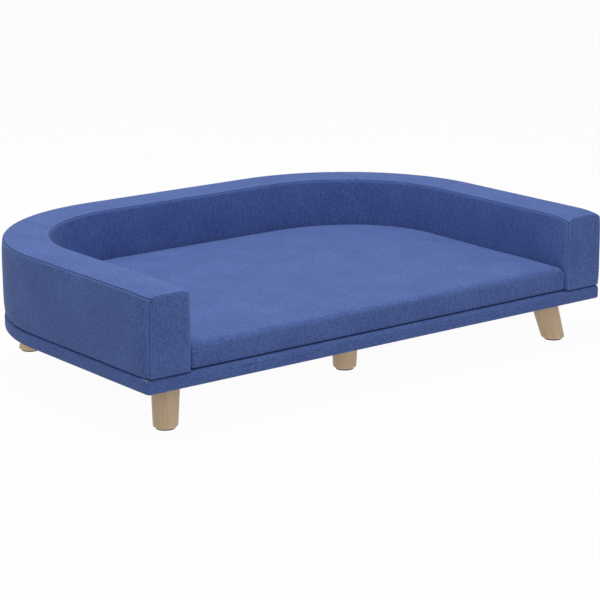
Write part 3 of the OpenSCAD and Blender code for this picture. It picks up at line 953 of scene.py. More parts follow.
@dataclass
class Bolster:
    """Padded bolster in a U, sewn from panels that meet in drawn-in seams."""

    thickness: float = 73.5 * MM
    height: float = 123.5 * MM
    side_bulge: float = 3.5 * MM
    inner_bulge: float = 2 * MM
    top_bulge: float = 2.6 * MM
    side_power: float = 6
    top_power: float = 4
    front_stand: float = 2 * MM
    front_crown: float = 1.5 * MM
    crown_power: float = 2
    crown_reach: float = 38 * MM
    cross_seam: float = math.radians(52)
    step: float = 7 * MM
    corner_widening: float = 1.15
    seam_steps: tuple[float, ...] = (1.2 * MM, 2.8 * MM, 5.2 * MM, 9.5 * MM)
    seam_depth: float = 2.1 * MM
    seam_shares: tuple[float, ...] = (1, 0.3, 0.06)
    # How much fainter the painted seam shade and highlight are along the arm's front seams.
    front_seam_paint_fade: float = 0.09
    front_drop: float = 3.2 * MM
    corner_drop: float = 2.4 * MM
    right_corner_drop: float = 5.5 * MM
    edge_draw: float = 4 * MM
    top_edge_draw: float = 8 * MM
    right_edge_draw: float = 1.5 * MM
    seam_skew: float = math.radians(12)
    skew_reach: float = math.radians(34)
    skew_middle: float = 0.33
    front_reach: float = 45 * MM
    rim_reach: float = 22 * MM
    corner_reach: float = 16 * MM
    puff_cap: float = 1 * MM
    start_share: float = 0.75
    cloth: float = 1 * MM
    front_cut: float = 2
    side_cut: float = 3
    top_cut: float = 5
    uneven_share: float = 0.3
    uneven_scale: float = 90
    seed: float = 4.7
    shell: bpy.types.Object = field(init=False)

    def build(self, linen: bpy.types.Material) -> None:
        """Models the whole shell, blows it up and splits it into its panels.

        Args:
            linen: The upholstery cloth.
        """
        self.sweep()
        self.mark_panels()
        self.lay_cloth()
        self.mark_seams()
        shape(self.shell, self.skewed)
        shape(self.shell, self.swollen)
        self.hold_seams()
        puff(self.shell, self.puff_cap, "seams")
        self.draw_in_seams()
        self.crease_seams()
        refine(self.shell)
        self.split(linen)

    def spaced(self, length: float) -> list[float]:
        """Divides a face, closer together near the seams at its ends.

        Args:
            length: Length of the face.

        Returns:
            The places, from 0 to length.
        """
        ends = [0.0, *self.seam_steps]
        free = length - 2 * ends[-1]
        count = max(round(free / self.step), 1)
        middle = [ends[-1] + free * i / count for i in range(1, count)]
        return ends + middle + [length - place for place in reversed(ends)]

    def half_spaced(self, length: float) -> list[float]:
        """Divides a straight run, closer together near its start.

        Args:
            length: Length of the run.

        Returns:
            The steps, which add up to length.
        """
        ends = [0.0, *self.seam_steps]
        free = length - ends[-1]
        count = max(round(free / self.step), 1)
        places = ends + [ends[-1] + free * i / count for i in range(1, count + 1)]
        return [b - a for a, b in zip(places, places[1:])]

    def sweep(self) -> None:
        """Extrudes and spins the arm's section round the U into a closed shell."""
        columns, rows = self.spaced(self.thickness), self.spaced(self.height)
        across, up = len(columns) - 1, len(rows) - 1
        put_down()
        bpy.ops.mesh.primitive_grid_add(
            x_subdivisions=across, y_subdivisions=up, size=1, rotation=(math.pi / 2, 0, 0)
        )
        self.shell = started("bolster_shell")

        def place(p: Vector) -> Vector:
            """Puts a grid point at its place in the left arm's front."""
            column, row = round((p.x + 0.5) * across), round((p.z + 0.5) * up)
            return Vector((columns[column] - BED.half_width, BED.front, DECK + rows[row]))

        shape(self.shell, place)
        edit(self.shell)
        bpy.ops.mesh.select_all(action="SELECT")
        arm = self.half_spaced(BED.arm)
        for length in arm:
            self.extrude((0, length, 0))
        self.spin(-BED.corner_x, self.corner_steps())
        count = round(2 * BED.corner_x / self.step)
        for _ in range(count):
            self.extrude((2 * BED.corner_x / count, 0, 0))
        self.spin(BED.corner_x, list(reversed(self.corner_steps())))
        for length in reversed(arm):
            self.extrude((0, -length, 0))
        put_down()
        face_outwards(self.shell)

    def extrude(self, way: Sequence[float]) -> None:
        """Extrudes the selected section by a way."""
        bpy.ops.mesh.extrude_region_move(TRANSFORM_OT_translate={"value": way})

    def corner_steps(self) -> list[float]:
        """Divides the left corner, closer together at the cross seam.

        Returns:
            The angles between the sections, from the side to the back.
        """
        middle = BED.radius - self.thickness / 2
        near = [step / middle for step in self.seam_steps]
        before = self.angle_steps(self.cross_seam - near[-1])
        behind = self.angle_steps(math.pi / 2 - self.cross_seam - near[-1])
        rising = [b - a for a, b in zip([0, *near], near)]
        return [*before, *reversed(rising), *rising, *behind]

    def angle_steps(self, angle: float) -> list[float]:
        """Splits an angle of the corner into even steps, a little wider than elsewhere."""
        count = round(angle * BED.radius / self.step / self.corner_widening)
        return [angle / count] * count

    def spin(self, x: float, steps: Sequence[float]) -> None:
        """Turns the selected section round a rear corner in steps, to the right."""
        for angle in steps:
            bpy.ops.mesh.spin(steps=1, angle=angle, center=(x, BED.corner_y, 0), axis=(0, 0, 1))

    def mark_panels(self) -> None:
        """Gives every face of the shell the number of its panel."""
        for _ in Panel:
            self.shell.data.materials.append(None)
        for face in self.shell.data.polygons:
            face.material_index = self.panel_of(face.center, face.normal)

    def panel_of(self, centre: Vector, normal: Vector) -> Panel:
        """Tells which panel a face of the shell belongs to.

        Args:
            centre: The face's centre.
            normal: The face's normal.

        Returns:
            The panel.
        """
        _, angle, out = BED.locate(centre)
        if centre.y < BED.front + NEAR:
            return Panel.FRONT_LEFT if centre.x < 0 else Panel.FRONT_RIGHT
        if normal.z < -FACING:
            return Panel.UNDER
        if normal.z > FACING:
            if angle > self.cross_seam:
                return Panel.TOP_BACK
            return Panel.TOP_LEFT if centre.x < 0 else Panel.TOP_RIGHT
        return Panel.OUTER if normal.dot(out) > 0 else Panel.INNER

    def lay_cloth(self) -> None:
        """Lays the cloth along each panel, with its threads along and across."""
        insets = {Panel.OUTER: 0, Panel.INNER: self.thickness}

        def lay(panel: int, _: Vector, p: Vector) -> tuple[float, float]:
            """Finds the cloth's place of a corner of a face.

            Args:
                panel: Number of the face's panel.
                _: The face's normal, not used.
                p: The corner.

            Returns:
                The place, in metres of cloth, far from every other panel's.
            """
            if panel in (Panel.FRONT_LEFT, Panel.FRONT_RIGHT):
                return p.z, p.x + self.front_cut * panel
            if panel in insets:
                return p.z + self.side_cut * panel, BED.along(p, insets[panel])
            inset, _, _ = BED.locate(p)
            return BED.along(p, self.thickness / 2) + self.top_cut * panel, inset

        own_uv(self.shell, lay)

    def mark_seams(self) -> None:
        """Keeps, on each point, how close a seam and a stitched one are, and its height."""
        seam = self.shell.data.attributes.new(SEAM, "FLOAT_VECTOR", "POINT")
        for vertex in self.shell.data.vertices:
            p = vertex.co
            inset, angle, _ = BED.locate(p)
            up, ahead = p.z - DECK, p.y - BED.front
            below, across = self.height - up, self.thickness - inset
            nearest = sorted(abs(away) for away in (inset, across, below, up, ahead))[1]
            if below < TOUCH:
                nearest = min(nearest, abs(angle - self.cross_seam) * (BED.radius - inset))
            stitched = max(min(abs(inset), abs(across)), ahead)
            from_ends = max(min(up, below), 0) / SEAM_REACH
            # Along the arm's front seams, away from their ends, the painted seam shade and
            # highlight are a little fainter.
            clear = 1 - self.front_seam_paint_fade * min(from_ends, 1) if ahead < SEAM_REACH else 1
            # The first part places the cloth's painted seam shade and highlight.
            seam.data[vertex.index].vector = (
                max(0, 1 - nearest / SEAM_REACH) * clear,
                max(0, 1 - stitched / STITCH_REACH),
                p.z,
            )

    def swollen(self, p: Vector) -> Vector:
        """Stands the panels out between their seams, a little less than at the end.

        Args:
            p: A point of the flat shell.

        Returns:
            Its place in the swollen shell.
        """
        inset, _, out = BED.locate(p)
        up = (p.z - DECK) / self.height
        high, across = within(up), within(inset / self.thickness)
        bulge = self.inner_bulge if inset > self.thickness / 2 else self.side_bulge
        rise = swell(high, self.side_power) * bulge * self.start_share
        lift = swell(across, self.top_power) * self.top_bulge * self.start_share
        moved = p + out * rise * (1 - 2 * across)
        moved.z += lift * max(up, 0)
        ahead = max(0, 1 - (p.y - BED.front) / self.crown_reach)
        crown = swell(across, self.crown_power) * swell(high, self.crown_power)
        moved.y -= ahead * (self.front_stand + self.front_crown * crown)
        return self.drawn_corner(p, moved, out)

    def drawn_corner(self, p: Vector, moved: Vector, out: Vector) -> Vector:
        """Pulls the arm's front rim down, and its outer front edge in, as sewing does.

        Args:
            p: A point of the flat shell.
            moved: Its place in the swollen shell.
            out: The horizontal way out.

        Returns:
            Its place in the drawn shell.
        """
        inset, _, _ = BED.locate(p)
        behind = p.y - BED.front
        up = p.z - DECK
        right = p.x > 0
        side = min(abs(inset), abs(self.thickness - inset))
        ahead = max(0, 1 - behind / self.front_reach) ** 2
        rim = max(0, 1 - (self.height - up) / self.rim_reach) ** 2
        corner = max(0, 1 - side / self.corner_reach) ** 2
        inner_right = right and inset > self.thickness / 2
        drop = self.right_corner_drop if inner_right else self.corner_drop
        moved.z -= ahead * rim * (self.front_drop + drop * corner)
        near = math.hypot(behind / self.rim_reach, inset / self.corner_reach)
        left_draw = self.edge_draw + (self.top_edge_draw - self.edge_draw) * up / self.height
        draw = self.right_edge_draw if right else left_draw
        return moved - out * (draw * max(0, 1 - near) ** 2)

    def skewed(self, p: Vector) -> Vector:
        """Turns the cloth near a cross seam, so that the seam runs a little aslant.

        Args:
            p: A point of the flat shell.

        Returns:
            Its place in the turned shell.
        """
        inset, angle, _ = BED.locate(p)
        if p.y <= BED.corner_y or abs(p.x) <= BED.corner_x:
            return p
        near = max(0, 1 - abs(angle - self.cross_seam) / self.skew_reach) ** 2
        turn = self.seam_skew * near * (self.skew_middle - inset / self.thickness)
        reach = BED.radius - inset
        side = math.copysign(1, p.x)
        x = side * (BED.corner_x + reach * math.cos(angle + turn))
        return Vector((x, BED.corner_y + reach * math.sin(angle + turn), p.z))

    def seam_edges(self) -> list[bpy.types.MeshEdge]:
        """Finds the shell's edges between two panels.

        Returns:
            The edges.
        """
        mesh = self.shell.data
        panels: dict[tuple[int, int], set[int]] = {}
        for face in mesh.polygons:
            for key in face.edge_keys:
                panels.setdefault(key, set()).add(face.material_index)
        return [edge for edge in mesh.edges if len(panels[edge.key]) > 1]

    def hold_seams(self) -> None:
        """Puts the cloth near a seam, and the underside, in the group that stays."""
        mesh = self.shell.data
        held = {v for edge in self.seam_edges() for v in edge.vertices}
        for face in mesh.polygons:
            if face.material_index == Panel.UNDER:
                held.update(face.vertices)
        for _ in range(len(self.seam_steps) - 1):
            wider = set(held)
            for edge in mesh.edges:
                if not held.isdisjoint(edge.vertices):
                    wider.update(edge.vertices)
            held = wider
        group = self.shell.vertex_groups.new(name="seams")
        group.add(sorted(held), 1, "REPLACE")

    def draw_in_seams(self) -> None:
        """Rolls both panels of each seam over into a narrow groove."""
        mesh = self.shell.data
        mesh.update()
        depth = {v: self.seam_shares[0] for edge in self.seam_edges() for v in edge.vertices}
        level = set(depth)
        neighbours: dict[int, set[int]] = {}
        for edge in mesh.edges:
            a, b = edge.vertices
            neighbours.setdefault(a, set()).add(b)
            neighbours.setdefault(b, set()).add(a)
        for share in self.seam_shares[1:]:
            level = {n for v in level for n in neighbours[v] if n not in depth}
            for vertex in level:
                depth[vertex] = share
        normals = {v: mesh.vertices[v].normal.copy() for v in depth}
        for vertex, share in depth.items():
            point = mesh.vertices[vertex]
            place = point.co * self.uneven_scale + Vector((self.seed, 0, 0))
            uneven = 1 + self.uneven_share * noise.noise(place)
            point.co -= normals[vertex] * (self.seam_depth * share * uneven)
        mesh.update()

    def crease_seams(self) -> None:
        """Keeps the seams sharp when the shell is refined."""
        mesh = self.shell.data
        crease = mesh.attributes.new("crease_edge", "FLOAT", "EDGE")
        for edge in self.seam_edges():
            crease.data[edge.index].value = 1

    def split(self, linen: bpy.types.Material) -> None:
        """Cuts the shell along its seams and gives each panel its thickness.

        Args:
            linen: The upholstery cloth.
        """
        for panel, nodes in PANEL_NODES.items():
            piece = duplicate(self.shell)
            piece.name = nodes[0] + ".cloth"
            piece.data.name = piece.name
            edit(piece)
            mesh = bmesh.from_edit_mesh(piece.data)
            for face in mesh.faces:
                under = panel is Panel.OUTER and face.material_index == Panel.UNDER
                face.select_set(not (face.material_index == panel or under))
            bmesh.update_edit_mesh(piece.data)
            bpy.ops.mesh.delete(type="FACE")
            put_down()
            piece.vertex_groups.clear()
            thicken(piece, self.cloth, -1)
            smooth(piece, CLOTH_ANGLE)
            finish_piece(piece, "base", linen, nodes)
        bpy.data.objects.remove(self.shell)


# The mattress


@dataclass
class Mattress:
    """Loose foam mattress in a sewn cover."""

    outline: Outline = Outline(374 * MM, -301.5 * MM, 225 * MM, 207.5 * MM)
    low: float = DECK
    thickness: float = 43 * MM
    top_radius: float = 10 * MM
    low_radius: float = 3 * MM
    front_radius: float = 3.5 * MM
    rear_rise: float = 3.4 * MM
    rise_start: float = -150 * MM
    rise_length: float = 300 * MM
    crown: float = 2.4 * MM
    crown_band: float = 110 * MM
    voxel: float = 6 * MM
    start_inset: float = 0.5 * MM
    low_gap: float = 0.4 * MM
    shift: float = 0.8 * MM
    right_stretch: float = 2.8 * MM
    corner_lift: float = 1.2 * MM
    corner_reach: float = 24 * MM
    puff_cap: float = 0.8 * MM
    zip_length: float = 300 * MM
    zip_height: float = 110.6 * MM
    slot_width: float = 11 * MM
    seat: float = 221.8 * MM
    tape_width: float = 18 * MM
    slot_spare: float = 10 * MM
    tape_thickness: float = 0.6 * MM
    tape_cells: tuple[int, int] = (106, 6)
    tape_wave: float = 0.4 * MM
    tape_waves: tuple[float, float] = (40, 3)
    tape_seed: float = 5
    front_cut: float = 1.7
    side_cut: float = 0.7

    def build(self, made: dict[str, bpy.types.Material]) -> None:
        """Makes the cushion and the tape of its zip."""
        self.make_cushion(made["linen"])
        self.make_tape(made["zip_cloth"])

    def make_cushion(self, linen: bpy.types.Material) -> None:
        """Models the cushion, blows it up and dresses it.

        Args:
            linen: The upholstery cloth.
        """
        plan, inset = self.outline, self.start_inset
        piece = block(
            "mattress_cover.cloth",
            (-plan.half_width + inset, plan.front + inset, self.low + self.low_gap),
            (plan.half_width - inset, plan.back - inset, self.low + self.thickness - self.crown),
        )
        round_corners(piece, plan, self.front_radius)
        round_rims(piece, self.top_radius, self.low_radius)
        cells = piece.modifiers.new("Even cells", "REMESH")
        cells.mode = "VOXEL"
        cells.voxel_size = self.voxel
        apply_modifiers(piece)
        face_outwards(piece)
        shape(piece, self.crowned)
        group = piece.vertex_groups.new(name="rests")
        resting = [v.index for v in piece.data.vertices if v.co.z < self.low + self.low_radius]
        group.add(resting, 1, "REPLACE")
        puff(piece, self.puff_cap, "rests")
        piece.vertex_groups.clear()
        refine(piece)
        piece.data.transform(Matrix.Translation((self.shift, 0, 0)))
        self.cut_slot(piece)
        own_uv(piece, self.lay)
        smooth(piece, CLOTH_ANGLE)
        finish_piece(piece, "mattress", linen, ("mattress_cover", "mattress_foam"))

    def cut_slot(self, piece: bpy.types.Object) -> None:
        """Cuts the slot at the back through which the zip shows.

        Args:
            piece: The cushion.
        """
        half, deep = self.slot_width / 2, self.seat - self.tape_thickness
        cutter = block(
            "slot",
            (-self.zip_length / 2, deep, self.zip_height - half),
            (self.zip_length / 2, self.outline.back + self.slot_spare, self.zip_height + half),
        )
        cut = piece.modifiers.new("Slot", "BOOLEAN")
        cut.operation = "DIFFERENCE"
        cut.object = cutter
        apply_modifiers(piece)
        put_down()
        bpy.data.objects.remove(cutter)

    def make_tape(self, cloth: bpy.types.Material) -> None:
        """Lays the zip's tape behind the slot, its edges a little wavy.

        Args:
            cloth: The tape's cloth.
        """
        length = self.zip_length + self.tape_width
        cells, waves = self.tape_cells, self.tape_waves
        put_down()
        bpy.ops.mesh.primitive_grid_add(
            x_subdivisions=cells[0], y_subdivisions=cells[1], size=1, rotation=(math.pi / 2, 0, 0)
        )
        tape = started("zip_tape.cloth")

        def spread(p: Vector) -> Vector:
            """Finds the place of a point of the grid in the laid tape.

            Args:
                p: The point, in a grid one metre wide and high.

            Returns:
                Its place.
            """
            place = Vector((p.x * waves[0], p.z * waves[1], self.tape_seed))
            wave = noise.noise(place) * self.tape_wave
            height = self.zip_height + p.z * (self.tape_width + wave * abs(p.z) * 2)
            return Vector((p.x * length, self.seat - self.tape_thickness, height))

        shape(tape, spread)
        thicken(tape, self.tape_thickness, -1)
        face_outwards(tape)
        own_uv(tape, lambda _, __, p: (p.z, p.x))
        finish_piece(tape, "mattress", cloth, ("zip_tape",))

    def crowned(self, p: Vector) -> Vector:
        """Lifts the top to the middle and the back, and fills the right front corner out.

        Args:
            p: A point of the flat cushion.

        Returns:
            Its place in the crowned cushion.
        """
        plan = self.outline
        share = within(min(plan.back - p.y, p.y - plan.front) / self.crown_band)
        up = max((p.z - self.low) / self.thickness, 0)
        behind = within((p.y - self.rise_start) / self.rise_length)
        rise = self.crown * (1 - (1 - share) ** 2) + self.rear_rise * behind**2 * (3 - 2 * behind)
        from_corner = math.hypot(plan.half_width - p.x, p.y - plan.front)
        out = max(0, 1 - from_corner / self.corner_reach) ** 2
        stretch = self.right_stretch * out
        return Vector((p.x + stretch, p.y - stretch, p.z + (rise + self.corner_lift * out) * up))

    def lay(self, _: int, normal: Vector, p: Vector) -> tuple[float, float]:
        """Finds the cloth's place, which runs over the top and down the sides.

        Args:
            _: The face's material number, not used.
            normal: The face's normal.
            p: A corner of the face.

        Returns:
            The place, in metres of cloth.
        """
        top = self.low + self.thickness
        if abs(normal.z) > FACING:
            return p.x, p.y
        if normal.y < -FACING:
            return p.y - (top - p.z) + self.front_cut, p.x
        return p.z + self.side_cut, self.outline.along(p)


# The platform


@dataclass
class Platform:
    """Padded platform: cloth pulled round a board, its edge a little uneven."""

    low: float = 69.8 * MM
    rim_radius: float = 6 * MM
    low_rim_radius: float = 4 * MM
    front_radius: float = 4 * MM
    cell: float = 9 * MM
    long_share: float = 0.6
    waviness: float = 0.35 * MM
    waves: float = 14
    seed: float = 2
    edge_swell: float = 2 * MM
    top_cut: float = 1.3

    def build(self, linen: bpy.types.Material) -> None:
        """Models the padded platform and dresses it.

        Args:
            linen: The upholstery cloth.
        """
        piece = block(
            "platform_cover.cloth",
            (-BED.half_width, BED.front, self.low),
            (BED.half_width, BED.back, DECK),
        )
        round_corners(piece, BED, self.front_radius)
        round_rims(piece, self.rim_radius, self.low_rim_radius)
        self.divide_rim(piece)
        shape(piece, self.uneven)
        face_outwards(piece)
        own_uv(piece, self.lay)
        smooth(piece, CLOTH_ANGLE)
        finish_piece(piece, "base", linen, ("platform_cover", "platform_padding"))

    def divide_rim(self, piece: bpy.types.Object) -> None:
        """Divides the long straight edges of the rim so that they can be uneven.

        Args:
            piece: The platform.
        """
        for length in (2 * BED.half_width - 2 * self.front_radius, BED.arm, 2 * BED.corner_x):
            shortest = self.long_share * length

            def undivided(a: Vector, b: Vector) -> bool:
                """Whether an edge is level and not divided yet."""
                return (b - a).length > shortest and abs(a.z - b.z) < TOUCH

            edit(piece, "EDGE")
            pick_edges(piece, undivided)
            bpy.ops.mesh.subdivide(number_cuts=round(length / self.cell))
            put_down()

    def uneven(self, p: Vector) -> Vector:
        """Lets the padded edge swell and sink a little along its length.

        Args:
            p: A point of the even platform.

        Returns:
            Its place in the uneven one.
        """
        inset, _, out = BED.locate(p)
        if p.y < BED.front + self.front_radius:
            away = BED.half_width - self.front_radius - abs(p.x)
            out = Vector((0, -1, 0)) if away > 0 else (out + Vector((0, -1, 0))).normalized()
        wave = noise.noise(Vector((p.x * self.waves, p.y * self.waves, self.seed)))
        at_edge = max(0, 1 - min(max(inset, 0), p.y - BED.front) / self.rim_radius)
        return p + out * (wave * self.waviness + self.edge_swell * at_edge)

    def lay(self, _: int, normal: Vector, p: Vector) -> tuple[float, float]:
        """Finds the cloth's place on the platform's top, edge and underside.

        Args:
            _: The face's material number, not used.
            normal: The face's normal.
            p: A corner of the face.

        Returns:
            The place, in metres of cloth.
        """
        if abs(normal.z) > FACING:
            return p.x, p.y + self.top_cut
        if normal.y < -FACING:
            return p.x, p.z
        return BED.along(p), p.z


# The dust cover under the platform, and the tacks at its corner


@dataclass
class DustCover:
    """Non-woven sheet stapled under the platform."""

    low: float = 69.2 * MM
    thickness: float = 0.6 * MM
    inset: float = 14 * MM
    front_radius: float = 6 * MM
    cells_across: int = 60
    cells_along: int = 34
    corner_cells: int = 16
    front_cells: int = 4
    sag: float = 1.1 * MM
    sag_mean: float = 0.6
    sag_swing: float = 0.8
    sag_waves: float = 9
    sag_reach: float = 60 * MM
    seed: float = 3
    flat_round_leg: float = 40 * MM
    staple: tuple[float, float, float] = (11 * MM, 0.9 * MM, 0.5 * MM)
    staple_rounding: float = 0.2 * MM
    staple_gap: float = 70 * MM
    staple_inset: float = 7 * MM

    def build(self, made: dict[str, bpy.types.Material]) -> None:
        """Makes the sheet and the staples that hold it.

        Args:
            made: Materials by slot.
        """
        sheet = self.make_sheet(made["dust_cloth"])
        staples = self.make_staples(made["zinc_steel"])
        plan = self.plan

    @property
    def plan(self) -> Outline:
        """Outline of the sheet."""
        return BED.inside(self.inset)

    def rows(self) -> list[float]:
        """Spaces the sheet's rows, closer together at its corners.

        Returns:
            Their places along the depth.
        """
        plan, r = self.plan, self.front_radius
        quarter = math.pi / 2
        count = self.front_cells
        front = [plan.front + r * (1 - math.cos(quarter * i / count)) for i in range(count)]
        start, length = plan.front + r, plan.corner_y - plan.front - r
        arm = [start + length * i / self.cells_along for i in range(self.cells_along)]
        count = self.corner_cells
        turns = [quarter * i / count for i in range(count + 1)]
        rear = [plan.corner_y + plan.radius * math.sin(turn) for turn in turns]
        return front + arm + rear

    def reach(self, y: float) -> float:
        """Measures half the sheet's width at a place along its depth.

        Args:
            y: The place.

        Returns:
            Half the width.
        """
        plan, r = self.plan, self.front_radius
        if y > plan.corner_y:
            return plan.corner_x + math.sqrt(max(plan.radius**2 - (y - plan.corner_y) ** 2, 0))
        if y < plan.front + r:
            return plan.half_width - r + math.sqrt(max(r**2 - (plan.front + r - y) ** 2, 0))
        return plan.half_width

    def make_sheet(self, cloth: bpy.types.Material) -> bpy.types.Object:
        """Spreads a grid over the outline and lets it sag between its staples.

        Args:
            cloth: The sheet's material.

        Returns:
            The sheet.
        """
        rows = self.rows()
        put_down()
        bpy.ops.mesh.primitive_grid_add(
            x_subdivisions=self.cells_across, y_subdivisions=len(rows) - 1, size=1
        )
        sheet = started("dust_cover.cloth")

        def spread(p: Vector) -> Vector:
            """Finds the place of a point of the grid in the hung sheet.

            Args:
                p: The point, in a grid one metre wide and deep.

            Returns:
                Its place.
            """
            y = rows[round((p.y + 0.5) * (len(rows) - 1))]
            x = 2 * p.x * self.reach(y)
            return Vector((x, y, self.low - self.sag_at(x, y)))

        shape(sheet, spread)
        thicken(sheet, self.thickness, 1)
        face_outwards(sheet)
        smooth(sheet, CLOTH_ANGLE)
        finish_piece(sheet, "base", cloth, ("dust_cover",))
        return sheet

    def sag_at(self, x: float, y: float) -> float:
        """Finds how far the sheet hangs down: not at its rim and not round a leg.

        Args:
            x: A place along the width.
            y: A place along the depth.

        Returns:
            How far it hangs down there.
        """
        plan = self.plan
        from_rim = min(plan.locate(Vector((x, y, 0)))[0], y - plan.front)
        from_leg = min(math.dist((x, y), leg.top) for leg in legs()) - self.flat_round_leg
        free = within(min(from_rim, from_leg) / self.sag_reach)
        wave = noise.noise(Vector((x * self.sag_waves, y * self.sag_waves, self.seed)))
        return self.sag * free * (self.sag_mean + self.sag_swing * wave)

    def make_staples(self, steel: bpy.types.Material) -> bpy.types.Object:
        """Bends one staple's crown and copies it round the sheet's rim.

        Args:
            steel: The staples' material.

        Returns:
            The staples, joined.
        """
        long, wide, thick = self.staple
        crown = block(
            "dust_cover.staples",
            (-long / 2, -wide / 2, self.low - thick),
            (long / 2, wide / 2, self.low),
        )
        round_level(crown, self.low - thick, self.staple_rounding, segments=2)
        plan = BED.inside(self.inset + self.staple_inset)
        copies = []
        for place, angle in plan.round_places(self.staple_gap):
            copy = duplicate(crown)
            copy.data.transform(Matrix.Translation((*place, 0)) @ Matrix.Rotation(angle, 4, "Z"))
            copies.append(copy)
        bpy.data.objects.remove(crown)
        put_down()
        for copy in copies:
            copy.select_set(True)
        bpy.context.view_layer.objects.active = copies[0]
        bpy.ops.object.join()
        joined = bpy.context.object
        joined.name = "dust_cover.staples"
        joined.data.name = joined.name
        finish_piece(joined, "base", steel)
        return joined


@dataclass
class Tacks:
    """Three short stitches that tack the left arm's front corner to the platform."""

    first: tuple[float, float, float] = (-451 * MM, -301.5 * MM, 91.8 * MM)
    gap: float = 5 * MM
    count: int = 3
    length: float = 4.2 * MM
    radius: float = 0.45 * MM
    sides: int = 10
    cuts: int = 6
    slant: float = 0.5
    bow: float = 3 * MM

    def build(self, made: dict[str, bpy.types.Material]) -> None:
        """Bends one thread over the crack and copies it along it.

        Args:
            made: Materials by slot.
        """
        put_down()
        bpy.ops.mesh.primitive_cylinder_add(
            vertices=self.sides,
            radius=self.radius,
            depth=self.length,
            rotation=(self.slant, 0, 0),
        )
        thread = started("platform_cover.tacks")
        edit(thread, "EDGE")
        pick_edges(thread, lambda a, b: abs(a.z - b.z) > self.length / 2)
        bpy.ops.mesh.subdivide(number_cuts=self.cuts)
        put_down()

        def bowed(p: Vector) -> Vector:
            """Bows the thread outwards over the crack."""
            return Vector((p.x + (p.z / self.length) ** 2 * self.bow, p.y, p.z))

        shape(thread, bowed)
        thread.data.transform(Matrix.Translation(self.first))
        repeat = thread.modifiers.new("Row", "ARRAY")
        repeat.use_relative_offset = False
        repeat.use_constant_offset = True
        repeat.constant_offset_displace = (0, self.gap, 0)
        repeat.count = self.count
        apply_modifiers(thread)
        face_outwards(thread)
        smooth(thread, CLOTH_ANGLE)
        finish_piece(thread, "base", made["thread"])


# The legs


@dataclass
class Leg:
    """One turned leg with its glide."""

    name: str
    foot: tuple[float, float]
    heading: float | None
    height: float = 69.2 * MM
    splay: float = math.radians(15.5)
    top_radius: float = 22 * MM
    foot_radius: float = 18.5 * MM
    rim_radius: float = 3.4 * MM
    glide_radius: float = 14.5 * MM
    glide_height: float = 2.6 * MM
    top_rounding: float = 0.6 * MM
    glide_rounding: float = 0.5 * MM
    sides: int = 96
    glide_sides: int = 64
    grain_gap: float = 3

    @property
    def top(self) -> tuple[float, float]:
        """Finds the middle of the leg's top, further in than a splayed leg's foot.

        Returns:
            Its places along the width and the depth.
        """
        if self.heading is None:
            return self.foot
        slant = self.height * math.tan(self.splay)
        x, y = self.foot
        return x - slant * math.cos(self.heading), y - slant * math.sin(self.heading)

    def build(self, wood: bpy.types.Material, rubber: bpy.types.Material) -> None:
        """Turns the leg and its glide, and dresses both."""
        self.turn_leg(wood)
        self.turn_glide(rubber)

    def turn_leg(self, wood: bpy.types.Material) -> None:
        """Turns a taper, slants it and cuts it level at its top and foot.

        Args:
            wood: The leg's material.
        """
        splay = 0 if self.heading is None else self.splay
        length = self.height / math.cos(splay)
        spare = self.foot_radius
        taper = (self.top_radius - self.foot_radius) / length
        put_down()
        bpy.ops.mesh.primitive_cone_add(
            vertices=self.sides,
            radius1=self.foot_radius - taper * spare,
            radius2=self.top_radius + taper * spare,
            depth=length + 2 * spare,
            location=(0, 0, length / 2),
        )
        piece = started(f"leg_{self.name}.wood")
        self.remember_grain(piece)
        edit(piece)
        bpy.ops.mesh.select_all(action="SELECT")
        bpy.ops.transform.rotate(value=splay, orient_axis="Y", center_override=(0, 0, 0))
        for level, up in ((self.height, False), (self.glide_height, True)):
            bpy.ops.mesh.select_all(action="SELECT")
            bpy.ops.mesh.bisect(
                plane_co=(0, 0, level),
                plane_no=(0, 0, 1),
                use_fill=True,
                clear_inner=up,
                clear_outer=not up,
            )
        put_down()
        self.round_foot(piece)
        turned = Matrix.Rotation(self.heading or 0, 4, "Z")
        if splay:
            level = self.glide_height + NEAR
            foot = [v.co.x for v in piece.data.vertices if v.co.z < level]
            turned = turned @ Matrix.Translation((-(max(foot) + min(foot)) / 2, 0, 0))
        piece.data.transform(Matrix.Translation((*self.foot, 0)) @ turned)
        face_outwards(piece)
        smooth(piece, TURNED_ANGLE)
        finish_piece(piece, "base", wood, (f"leg_{self.name}",))

    def remember_grain(self, piece: bpy.types.Object) -> None:
        """Keeps each point's place in the straight leg, for the grain.

        Args:
            piece: The leg, still straight.
        """
        grain = piece.data.attributes.new(GRAIN, "FLOAT_VECTOR", "POINT")
        shift = Vector((self.foot[0] * self.grain_gap, self.foot[1] * self.grain_gap, 0))
        for vertex in piece.data.vertices:
            grain.data[vertex.index].vector = vertex.co + shift

    def round_foot(self, piece: bpy.types.Object) -> None:
        """Rounds the rim of the foot, and a little that of the top."""
        round_level(piece, self.glide_height, self.rim_radius, segments=6, clamped=True)
        round_level(piece, self.height, self.top_rounding, segments=2, clamped=True)

    def turn_glide(self, rubber: bpy.types.Material) -> None:
        """Makes the round pad under the foot, its lower rim a little rounded.

        Args:
            rubber: The pad's material.
        """
        put_down()
        bpy.ops.mesh.primitive_cylinder_add(
            vertices=self.glide_sides,
            radius=self.glide_radius,
            depth=self.glide_height,
            location=(*self.foot, self.glide_height / 2),
        )
        piece = started(f"glide_{self.name}.pad")
        round_level(piece, 0, self.glide_rounding, segments=3)
        smooth(piece, TURNED_ANGLE)
        finish_piece(piece, "base", rubber, (f"glide_{self.name}",))


